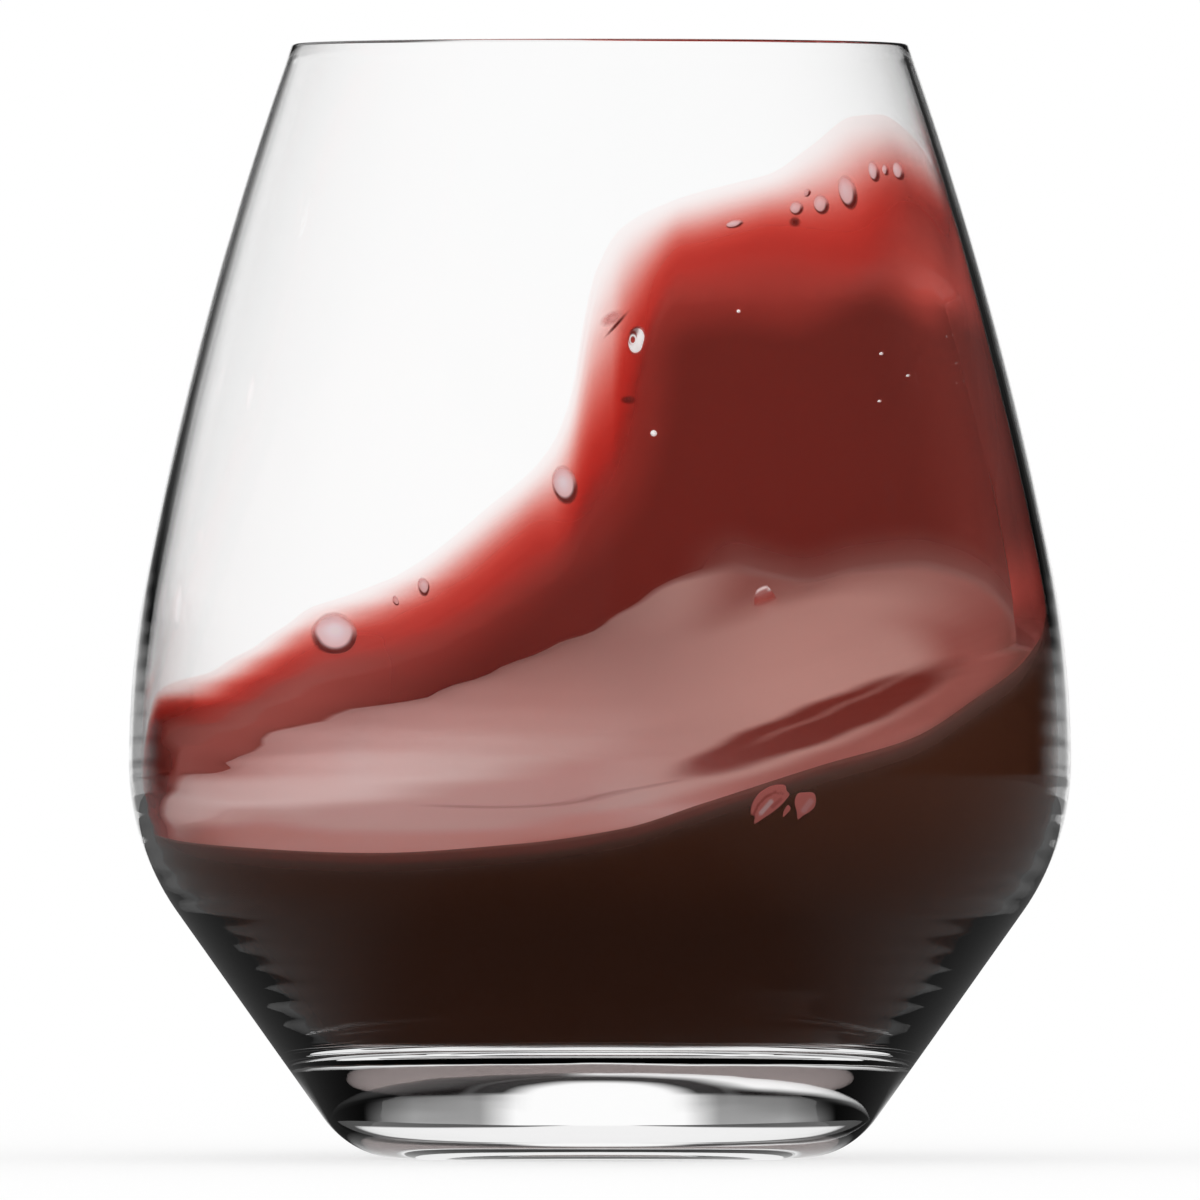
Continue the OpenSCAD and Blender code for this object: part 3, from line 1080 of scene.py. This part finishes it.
        # The poles: painted light under the wine and the pool's painted reflection
        poles = [linear(Tone.BASE_LIGHT.value), linear(Tone.POOL_REFLECTION.value)]
        store(made, "tone", np.concatenate([colour.reshape(-1, 3), poles]))
        store(made, "clear", np.append(clear.reshape(-1), [0.0, 0.0]))
        store(made, "dense", np.append(dense.reshape(-1), [1.0, 1.0]))
        store(made, "gloss", np.append(gloss.reshape(-1), [0.0, 1.0]))
        made.data.materials.append(red_wine())
        return made


def red_wine() -> bpy.types.Material:
    """Red wine: clear liquid coloured by its depth, with a painted haze on its free surface that
    holds painted reflection, shade and light.
    """
    finish = Finish("wine_liquid")
    finish.set(Roughness=0.0, IOR=1.12, Specular_Tint=(0.5, 0.5, 0.5, 1), Coat_Roughness=0.3,
               Coat_IOR=1.4)
    tone = finish.add("Attribute", {"attribute_name": "tone"})
    finish.link(tone.outputs["Color"], "Base Color")
    for name, socket in (("clear", "Transmission Weight"), ("dense", "Alpha"),
                         ("gloss", "Coat Weight")):
        value = finish.add("Attribute", {"attribute_name": name})
        finish.link(value.outputs["Fac"], socket)
    twice = finish.add("Math", {"operation": "MULTIPLY"}, n0=value.outputs["Fac"], n1=2.0)
    soft = finish.add("Math", {"operation": "MINIMUM"}, n0=twice.outputs[0], n1=0.35)
    finish.link(soft.outputs[0], "Roughness")
    depth = finish.add("VolumeAbsorption", Color=(0.82, 0.09, 0.0, 1), Density=3570.0)
    finish.tree.links.new(depth.outputs[0], finish.output.inputs["Volume"])
    return finish.material


# ---------------------------------------------------------------- bubbles, folds and foam


class Film(Enum):
    """Colours of bubbles, folds and foam, most of them painted light and shade."""

    # Painted backlight that shows through the bubbles
    BACKLIGHT = "f4e8ee"
    ROSE = "e0a09c"
    # Painted shade on the bubbles and folds
    DARK = "6c2622"
    # Painted highlights and glints
    HIGHLIGHT = "ffffff"
    RED = "b04038"
    # Pink of the foam flecks, the painted reflection of a cluster of bubbles
    FOAM = "e88078"
    # This and the next: painted highlight in the foam's core and painted shade in its grooves
    FOAM_HIGHLIGHT = "f6c8c8"
    FOAM_SHADE = "c85850"


class Look(Enum):
    """Kinds of mark on the wine's surface, most of them painted light and shade."""

    # Painted backlight through a bubble, with painted shade on its lower rim
    WINDOW = "pale oval with a dark lower rim"
    # Painted highlights of a bubble, a white ring and crescent, with painted shade at its upper
    # left
    EYE = "ring in a white crescent"
    # Painted highlight of a bubble's ring, brightest at its upper left
    RING = "open ring, bright at the upper left"
    # A painted glint
    GLINT = "pale dot"
    SHADE = "dark soft oval"
    GLEAM = "pale soft oval"


@dataclass(frozen=True)
class Mark:
    """A low closed dome on the wine's surface, over an oval, painted with light and shade."""

    angle: float
    # Height as a share of the wave's height, or on the pool the share of the way to the fold
    place: float
    # Size of the oval across and up the surface, its turn in degrees, and the dome's height
    width: float
    length: float
    look: Look
    turn: float = 0.0
    rise: float = 0.35
    # Share of the palest colour in a window, its painted backlight
    pale: float = 0.5
    on_pool: bool = False

    def paint(self, u: Array, v: Array) -> tuple[Array, Array]:
        """Colour and opacity at places of the oval, with its painted light and shade.

        Args:
            u: Distances to the right of its centre, as shares of half its width.
            v: Distances above its centre, as shares of half its length.

        Returns:
            Linear colours and opacities.
        """
        tone = palette(Film)
        out = np.hypot(u, v)
        border = ease((1 - out) / 0.2)
        plain = np.ones(u.shape + (1,))
        # A window: painted backlight in the core, painted shade on the lower rim
        if self.look is Look.WINDOW:
            core = np.hypot(u + 0.06, v - 0.14) / 0.84
            pale = blend(tone[Film.ROSE], tone[Film.BACKLIGHT], self.pale * (1 - 0.5 * ease(core)))
            rim = blend(tone[Film.ROSE], tone[Film.DARK], ease((0.45 - v) / 0.8))
            colour = blend(pale, rim, ease((core - 0.78) / 0.2))
            return colour, border * (1 - 0.5 * ease(v * core))
        # An eye: painted highlights in a white crescent and ring, under painted shade at the upper
        # left
        if self.look is Look.EYE:
            white = ease((0.86 - out) / 0.1) * ease((np.hypot(u + 0.42, v - 0.1) - 0.42) / 0.12)
            ring = ease(1 - np.abs(np.hypot(u + 0.3, (v + 0.02) * 1.2) - 0.34) / 0.13)
            shade = ease((0.75 - np.hypot(u + 0.45, v - 0.6)) / 0.5)
            colour = blend(blend(tone[Film.RED], tone[Film.DARK], shade), tone[Film.HIGHLIGHT],
                           np.maximum(white * (1 - 0.8 * shade), ring))
            return colour, border
        # A ring: a painted highlight, strongest at the upper left
        if self.look is Look.RING:
            upper_left = 0.3 + 0.7 * ease((v - 0.7 * u + 0.5) / 0.9)
            ring = ease(1 - np.abs(out - 0.62) / 0.17) * upper_left
            edge = ease(1 - np.abs(out - 0.86) / 0.2)
            colour = blend(tone[Film.RED] * plain, tone[Film.HIGHLIGHT], ring)
            return colour, np.maximum(ring, 0.5 * edge)
        # A glint, a gleam and a shade: one painted colour each
        pale = {Look.GLINT: Film.HIGHLIGHT, Look.GLEAM: Film.ROSE, Look.SHADE: Film.DARK}[self.look]
        soft = ease(1 - out) if self.look is not Look.GLINT else border
        return tone[pale] * plain, soft


# How far the border of a mark stands off the wine, and how deep its lower side goes from there
STAND_OFF = 0.08
ROOT = 0.3


def placed_marks(name: str, wine: Wine, marks: tuple[Mark, ...]) -> bpy.types.Object:
    """Builds marks as one piece. Each lies in the plane that touches the surface at its centre.
    At share s of the oval its upper side stands off by STAND_OFF + rise (1 - s²), and its lower
    side by STAND_OFF - ROOT (1 - s²), in the wine.

    Args:
        name: Name of the piece.
        wine: The wine that carries them.
        marks: The marks.

    Returns:
        The object.
    """
    low_steps, high_steps, turns = 4, 14, 40
    share = np.concatenate([np.linspace(0, 1, low_steps + 1)[1:],
                            np.linspace(1, 0, high_steps + 1)[1:-1]])
    above = np.arange(len(share)) >= low_steps
    turn = (np.arange(turns) * TURN / turns)[:, None]
    shells, colours, dense = [], [], []
    for mark in marks:
        centre, right, up, out = wine.plane_at(mark.angle, mark.place, mark.on_pool)
        u, v = share * np.cos(turn), share * np.sin(turn)
        tilt = math.radians(mark.turn)
        x = mark.width / 2 * u * math.cos(tilt) - mark.length / 2 * v * math.sin(tilt)
        y = mark.width / 2 * u * math.sin(tilt) + mark.length / 2 * v * math.cos(tilt)
        lift = STAND_OFF + np.where(above, mark.rise, -ROOT) * (1 - share ** 2)
        grid = centre + x[..., None] * right + y[..., None] * up + lift[None, :, None] * out
        shells.append((grid, centre + (STAND_OFF - ROOT) * out,
                       centre + (STAND_OFF + mark.rise) * out))
        for at in ((u, v), (np.zeros(2), np.zeros(2))):
            colour, opaque = mark.paint(*at)
            colours.append(colour.reshape(-1, 3))
            dense.append(opaque.reshape(-1))
    made = shell_object(name, shells)
    store(made, "tone", np.concatenate(colours))
    store(made, "dense", np.concatenate(dense))
    return made


@dataclass(frozen=True)
class Fleck:
    """A thin fleck of foam between the wine and the front wall, seen from the front."""

    x: float
    z: float
    # Corners of the outline from that centre, anticlockwise, and lines over it: both ends, half the
    # width, and the share of the pale painted highlight, or below 0 of the deep painted shade
    corners: tuple[tuple[float, float], ...]
    lines: tuple[tuple[float, ...], ...] = ()

    def outline(self, turns: int) -> Array:
        """Smooth closed curve through the corners, at even steps: between two corners it is the
        cubic whose slope at each is half the way between the corners beside it.

        Args:
            turns: Number of points.

        Returns:
            Distances to the right and up from the centre, one row each.
        """
        corner = np.array(self.corners)
        at = np.arange(turns) * len(corner) / turns
        i = at.astype(int)
        s = (at - i)[:, None]
        before, here, after, last = (corner[(i + k) % len(corner)] for k in (-1, 0, 1, 2))
        return 0.5 * (2 * here + (after - before) * s
                      + (2 * before - 5 * here + 4 * after - last) * s ** 2
                      + (3 * here - before - 3 * after + last) * s ** 3)

    def paint(self, x: Array, z: Array) -> Array:
        """Linear colours of the foam: pink, the painted reflection of its bubbles, with painted
        shade in darker grooves and a painted highlight in a paler core.
        """
        tone = palette(Film)
        colour = tone[Film.FOAM] * np.ones(x.shape + (1,))
        for x0, z0, x1, z1, half, pale in self.lines:
            long = math.hypot(x1 - x0, z1 - z0)
            along = np.clip(((x - x0) * (x1 - x0) + (z - z0) * (z1 - z0)) / long ** 2, 0, 1)
            away = np.hypot(x - x0 - along * (x1 - x0), z - z0 - along * (z1 - z0))
            film = Film.FOAM_HIGHLIGHT if pale > 0 else Film.FOAM_SHADE
            colour = blend(colour, tone[film], abs(pale) * ease(1.5 - away / half))
        return colour

    def shell(self, side: Side, gap: float) -> tuple[Array, Array, Array, Array]:
        """Closed shell of the fleck, bent to the wall.

        Args:
            side: Inner side of the wall.
            gap: Room between the wine and the wall.

        Returns:
            Grid of points, the two poles, and the linear colours of all of them.
        """
        in_steps, out_steps, turns, round_edge = 4, 12, 48, 0.15
        share = np.concatenate([np.linspace(0, 1, in_steps + 1)[1:],
                                np.linspace(1, 0, out_steps + 1)[1:-1]])
        sign = np.where(np.arange(len(share)) < in_steps, 1, -1)
        edge = self.outline(turns)
        dx, dz = edge[:, :1] * share, edge[:, 1:] * share
        depth = gap / 2 + gap / 4 * sign * np.minimum(1, (1 - share) / round_edge)

        def place(dx: Array, dz: Array, depth: Array) -> Array:
            """Points on the wall at a depth inside it."""
            x, z = self.x + dx, self.z + dz
            return np.stack([x, -np.sqrt(side.radius_at(z, depth) ** 2 - x ** 2), z], -1)

        grid = place(dx, dz, depth[None, :] * np.ones_like(dx))
        middle = np.zeros(2)
        poles = place(middle, middle, np.array([0.75 * gap, 0.25 * gap]))
        colour = np.concatenate([self.paint(dx, dz).reshape(-1, 3), self.paint(middle, middle)])
        return grid, poles[0], poles[1], colour


@dataclass
class Froth:
    """All that floats on the wine: bubbles at the crest, on the edge and on the face, with painted
    backlight, highlights and shade, painted shade and highlights of small folds of the surface, and
    flecks of foam on the front wall."""

    wine: Wine
    # Windows of painted backlight with painted shade on their lower rims: at the crest here, on the
    # edge below
    crest: tuple[Mark, ...] = (
        Mark(42.5, 0.874, 3.0, 3.9, Look.WINDOW, 8, pale=0.45),
        Mark(49.3, 0.854, 2.3, 2.2, Look.WINDOW, 10, pale=0.3),
        Mark(54.7, 0.848, 1.9, 1.5, Look.WINDOW, 12, pale=0.3),
        Mark(52.1, 0.873, 1.1, 0.8, Look.WINDOW, 30, pale=0.1),
        Mark(34.0, 0.908, 2.2, 2.4, Look.WINDOW, 8, pale=0.5),
        Mark(30.1, 0.911, 1.2, 1.3, Look.WINDOW, 8, pale=0.4),
        Mark(25.6, 0.909, 2.6, 2.1, Look.WINDOW, -6, pale=0.5),
        Mark(67.0, 0.823, 2.2, 0.9, Look.WINDOW, 12, pale=0.4))
    edge: tuple[Mark, ...] = (
        Mark(127.5, 0.159, 6.3, 4.8, Look.WINDOW, 0, rise=0.5, pale=0.95),
        Mark(94.9, 0.402, 2.9, 4.4, Look.WINDOW, 12, pale=0.8),
        Mark(114.2, 0.238, 1.4, 2.1, Look.WINDOW, 18, pale=0.4),
        Mark(118.1, 0.215, 0.7, 1.3, Look.WINDOW, 20, pale=0.1))
    # On the face: a bubble with painted highlights, and painted glints
    face: tuple[Mark, ...] = (
        Mark(84.2, 0.635, 2.3, 3.3, Look.EYE, -18),
        Mark(81.7, 0.485, 0.75, 0.75, Look.GLINT),
        Mark(66.1, 0.682, 0.45, 0.4, Look.GLINT),
        Mark(37.2, 0.614, 0.5, 0.35, Look.GLINT),
        Mark(30.8, 0.579, 0.45, 0.3, Look.GLINT),
        Mark(39.9, 0.537, 0.4, 0.3, Look.GLINT))
    # Small folds and dents shown by painted shade and a painted highlight, and a bubble ring on the
    # pool with a painted highlight
    fold_shading: tuple[Mark, ...] = (
        Mark(87.4, 0.661, 4.6, 0.5, Look.SHADE, 46, rise=0.1),
        Mark(88.2, 0.671, 3.2, 1.6, Look.GLEAM, 30, rise=0.1),
        Mark(85.6, 0.539, 2.6, 1.1, Look.SHADE, 0, rise=0.1),
        Mark(55.3, 0.826, 1.8, 1.4, Look.SHADE, 0, rise=0.1),
        Mark(62.4, 0.887, 1.9, 2.8, Look.RING, -20, rise=2.0, on_pool=True))
    flecks: tuple[Fleck, ...] = (
        Fleck(17.61, 37.77,
              ((-2.04, -0.94), (-1.9, 0.08), (-1.24, 1.11), (-0.22, 1.81), (0.8, 2.09),
               (1.56, 2.0), (1.73, 1.48), (2.02, 1.07), (1.65, 0.5), (0.99, -0.2),
               (0.16, -0.85), (-0.69, -1.41), (-1.66, -1.98), (-1.62, -1.22)),
              ((-1.7, -1.0, -1.24, 0.0, 0.12, -0.9), (-1.24, 0.0, -0.41, 0.83, 0.12, -0.9),
               (-0.41, 0.83, 0.52, 1.3, 0.12, -0.9), (0.52, 1.3, 1.36, 1.15, 0.1, -0.7),
               (-0.95, -0.85, 0.1, 0.33, 0.22, 0.9), (0.25, -0.2, 1.1, 0.55, 0.18, -0.6))),
        Fleck(19.3, 37.15, ((0.15, 0.58), (0.43, 0.2), (0.0, -0.35), (-0.36, -0.63), (-0.27, 0.0))),
        Fleck(21.3, 37.8,
              ((-1.05, 0.75), (-0.77, 1.15), (-0.12, 1.24), (0.77, 1.2), (1.06, 0.66),
               (0.96, -0.17), (0.45, -0.74), (-0.31, -1.2), (-0.83, -1.55), (-0.95, -0.74),
               (-1.15, 0.1)),
              ((-0.2, -0.6, 0.5, 0.3, 0.3, 0.35),)))

    def foam(self) -> bpy.types.Object:
        """Builds the flecks of foam as one piece."""
        side = self.wine.bowl.inside
        built = [fleck.shell(side, self.wine.wall_gap) for fleck in self.flecks]
        made = shell_object("foam", [shell[:3] for shell in built])
        store(made, "tone", np.concatenate([shell[3] for shell in built]))
        store(made, "dense", np.ones(len(made.data.vertices)))
        return made

    def build(self) -> list[tuple[bpy.types.Object, Slot, tuple[str, ...]]]:
        """Builds the pieces.

        Returns:
            Each piece with its slot and the nodes that it replaces.
        """
        pieces = [
            (placed_marks("crest_films", self.wine, self.crest), Slot.BUBBLE, ("crest_bubbles",)),
            (placed_marks("edge_films", self.wine, self.edge), Slot.BUBBLE, ("edge_bubbles",)),
            (placed_marks("face_films", self.wine, self.face), Slot.BUBBLE, ("face_bubbles",)),
            (placed_marks("face_fold_shading", self.wine, self.fold_shading), Slot.BUBBLE, ()),
            (self.foam(), Slot.FOAM, ("foam_flecks",))]
        # The bubble skin glows with painted light, a share of its own colour
        film, foam = wine_film("bubble_skin", 0.15, 0.35), wine_film("froth", 0.5, 0.0)
        for piece, slot, _ in pieces:
            piece.data.materials.append(foam if slot is Slot.FOAM else film)
        return pieces


def wine_film(name: str, rough: float, glow: float) -> bpy.types.Material:
    """Thin film of wine round air, painted with the light that shows through it and with its
    highlights and shade, or foam.

    Args:
        name: Name of the material.
        rough: Roughness of its surface.
        glow: Painted light, an emission that stands for the light that comes through it from
            behind, as a share of its colour.

    Returns:
        The material.
    """
    finish = Finish(name)
    finish.set(Roughness=rough, IOR=1.34, Emission_Strength=glow)
    for attribute, output, socket in (("tone", "Color", "Base Color"),
                                      ("tone", "Color", "Emission Color"),
                                      ("dense", "Fac", "Alpha")):
        value = finish.add("Attribute", {"attribute_name": attribute})
        finish.link(value.outputs[output], socket)
    return finish.material


# ---------------------------------------------------------------- the studio


@dataclass
class Studio:
    """Pale floor, white surroundings with dark flags, and the camera."""

    distance: float = 3.4
    eye_h: float = 0.0591
    view_w: float = 0.1271
    shell_r: float = 60.0
    # Brightness of the surroundings at angles from the view: backdrop, dark flags beside it,
    # side paper and the dark room behind the camera
    ring_a: tuple[float, ...] = (0, 9, 13, 17, 24, 32, 46, 90, 180)
    ring_grey: tuple[float, ...] = (1, 1, 0.03, 0.03, 1, 1, 0.9, 0.3, 0.1)
    # Side paper: angles from the view and above the level view where it begins, its share on the
    # right, and how far to the right, as a part of the unit direction, it takes that share
    paper_a: Span = Span(15, 20)
    paper_up: Span = Span(4, 10)
    right_share: float = 0.05
    right_way: Span = Span(0, 0.1)
    # Low strip that lights the base: the angles above the level view where it ends, and its
    # brightness at angles from the view
    strip_up: Span = Span(3, 0.5)
    strip_a: tuple[float, ...] = (0, 11, 16, 28, 42, 180)
    strip_grey: tuple[float, ...] = (1, 1, 0.35, 0.35, 0, 0)
    # Share of the floor's brightness that is its own light
    floor_glow: float = 0.7
    # Brightness of the floor as the glass shows it: the dark table in front and beside it, and
    # the white paper that runs back from under it
    table_grey: float = 0.03
    side_grey: float = 0.1
    paper_grey: float = 0.9
    # Where the paper gives way to the table, in metres: all and nothing of it by the distance
    # from the middle line, by the place to the back, and by the distance from the axis for the
    # disc under the foot
    paper_x: tuple[float, float] = (0.03, 0.045)
    paper_y: tuple[float, float] = (0.05, 0.02)
    under_r: tuple[float, float] = (0.022, 0.029)

    def camera(self) -> bpy.types.Object:
        """Level camera that frames the glass as the photograph does."""
        lens = bpy.data.cameras.new("camera")
        lens.lens = 36 * self.distance / self.view_w
        made = bpy.data.objects.new("camera", lens)
        made.location = (0, -self.distance, self.eye_h)
        made.rotation_euler = (math.pi / 2, 0, 0)
        bpy.context.scene.collection.objects.link(made)
        bpy.context.scene.camera = made
        return made

    def surroundings(self) -> None:
        """World: white to the camera and behind glass, plain light elsewhere."""
        world = bpy.data.worlds.new("surroundings")
        bpy.context.scene.world = world
        world.use_nodes = True
        shade = world.node_tree.nodes["Background"]
        shade.inputs["Color"].default_value = (1, 1, 1, 1)
        shade.inputs["Strength"].default_value = 1.0

    def glow(self, way: Array) -> Array:
        """Brightness of the surroundings in a direction: rings of flags and paper by the angle
        from the view, whose side paper begins above the level view and is nearly left out on the
        right, and a low strip along the floor where that is brighter.

        Args:
            way: Unit directions in the camera's axes, one row each.

        Returns:
            Brightness from 0 to 1.
        """
        away = np.degrees(np.arccos(np.clip(-way[:, 2], -1, 1)))
        up = np.degrees(np.arcsin(np.clip(way[:, 1], -1, 1)))
        rings = np.interp(away, self.ring_a, self.ring_grey)
        share = self.paper_up.at(up) * (1 - (1 - self.right_share) * self.right_way.at(way[:, 0]))
        rings = rings * (1 - self.paper_a.at(away) * (1 - share))
        strip = np.interp(away, self.strip_a, self.strip_grey)
        return rings + (np.maximum(rings, strip) - rings) * self.strip_up.at(up)

    def surround(self, camera: bpy.types.Object) -> bpy.types.Object:
        """Great shell of paper and flags that only shows in glass and gloss. It hangs from the
        camera, as a tent hangs round the lens, so that the glass has its dark edges in every view.

        Args:
            camera: The camera.

        Returns:
            The shell.
        """
        turns, steps = 96, 240
        polar = (np.arange(steps) + 0.5) * math.pi / steps
        angle = np.arange(turns) * TURN / turns
        way = np.stack([
            np.sin(polar)[None, :] * np.cos(angle)[:, None],
            np.sin(polar)[None, :] * np.sin(angle)[:, None],
            -np.cos(polar)[None, :] * np.ones((turns, 1))], -1).reshape(-1, 3)
        faces = grid_quads(turns, steps, True).tolist()
        rings = np.arange(turns) * steps
        faces += [rings.tolist(), (rings + steps - 1)[::-1].tolist()]
        made = mesh_object("surround", way * self.shell_r / MM, faces)
        made.location = (0, 0, -self.distance)
        store(made, "glow", self.glow(way))
        made.parent = camera
        finish = Finish("surround_paper")
        level = finish.add("Attribute", {"attribute_name": "glow"})
        rays = finish.add("LightPath")
        lit = finish.add("Math", {"operation": "MAXIMUM"}, n0=level.outputs["Fac"],
                         n1=rays.outputs["Diffuse Depth"])
        even = finish.add("Math", {"operation": "MINIMUM"}, n0=lit.outputs[0], n1=1.0)
        light = finish.add("Emission", Color=(1, 1, 1, 1), Strength=even.outputs[0])
        finish.tree.links.new(light.outputs[0], finish.output.inputs["Surface"])
        made.data.materials.append(finish.material)
        made.visible_camera = False
        made.visible_diffuse = False
        made.visible_shadow = False
        made.visible_volume_scatter = False
        return made

    def floor(self) -> bpy.types.Object:
        """Round pale floor under the glass that keeps its shadow. Glass and gloss show a darker
        table in its place, with a strip of paper."""
        sides, radius = 96, 600
        angle = np.arange(sides) * TURN / sides
        points = np.stack([radius * np.cos(angle), radius * np.sin(angle), np.zeros(sides)], -1)
        made = mesh_object("floor", points, [list(range(sides))], smooth=False)
        finish = Finish("floor_paper")
        finish.set(Base_Color=(1, 1, 1, 1), Roughness=1.0, Specular_IOR_Level=0.0)
        rays = finish.add("LightPath")
        in_glass = finish.add("Math", {"operation": "MAXIMUM"}, n0=rays.outputs["Is Glossy Ray"],
                              n1=rays.outputs["Is Transmission Ray"])
        bright = finish.add("Emission", Color=(1, 1, 1, 1), Strength=1.0)
        place = finish.add("TexCoord")
        part = finish.add("SeparateXYZ", Vector=place.outputs["Object"])
        aside = finish.add("Math", {"operation": "ABSOLUTE"}, n0=part.outputs[0])
        away = finish.add("VectorMath", {"operation": "LENGTH"}, n0=place.outputs["Object"])
        across, along, under = (
            finish.add("MapRange", Value=value, From_Min=full, From_Max=none, To_Min=1.0,
                       To_Max=0.0).outputs[0]
            for value, (full, none) in ((aside.outputs[0], self.paper_x),
                                        (part.outputs[1], self.paper_y),
                                        (away.outputs["Value"], self.under_r)))
        strip = finish.add("Math", {"operation": "MULTIPLY"}, n0=across, n1=along)
        paper = finish.add("Math", {"operation": "MAXIMUM"}, n0=strip.outputs[0], n1=under)
        table = finish.add("MapRange", Value=across, From_Min=0.0, From_Max=1.0,
                           To_Min=self.side_grey, To_Max=self.table_grey)
        shown = finish.add("MapRange", Value=paper.outputs[0], From_Min=0.0, From_Max=1.0,
                           To_Min=table.outputs[0], To_Max=self.paper_grey)
        dim = finish.add("Emission", Color=(1, 1, 1, 1), Strength=shown.outputs[0])
        plain = finish.add("MixShader", n0=self.floor_glow, n1=finish.shader.outputs[0],
                           n2=bright.outputs[0])
        mix = finish.add("MixShader", n0=in_glass.outputs[0], n1=plain.outputs[0],
                         n2=dim.outputs[0])
        finish.tree.links.new(mix.outputs[0], finish.output.inputs["Surface"])
        made.data.materials.append(finish.material)
        return made

    def build(self) -> None:
        """Sets the whole stage."""
        camera = self.camera()
        self.surroundings()
        self.surround(camera)
        self.floor()
        bpy.context.scene.view_settings.view_transform = "Standard"


def dress(piece: bpy.types.Object, body: Body, slot: Slot, *nodes: str) -> None:
    """Hangs a finished piece on its body and hides the nodes of the solid model that it replaces.

    Args:
        piece: The piece.
        body: Body that it rides on.
        slot: Slot of the record that its finish belongs to; not used.
        nodes: Nodes of the solid model that it replaces.
    """
    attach(piece, body.value)
    for node in nodes:
        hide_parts(node)
    log.info("%s: %d faces", piece.name, len(piece.data.polygons))


def corners(box: tuple) -> list[list[float]]:
    """Lowest and highest corner of a box as plain lists."""
    return [[round(v, 6) for v in corner] for corner in box]


def main() -> None:
    """Builds the studio, the glass, the wine and all that floats on it."""
    logging.basicConfig(level=logging.INFO, format="%(name)s: %(message)s")
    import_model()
    Studio().build()
    bowl = GlassBowl()
    dress(bowl.build(), Body.GLASS, Slot.GLASS, "glass")
    wine = Wine(bowl)
    dress(wine.build(), Body.WINE, Slot.WINE, "wine")
    for piece, slot, nodes in Froth(wine).build():
        dress(piece, Body.WINE, slot, *nodes)


if __name__ == "__main__":
    main()
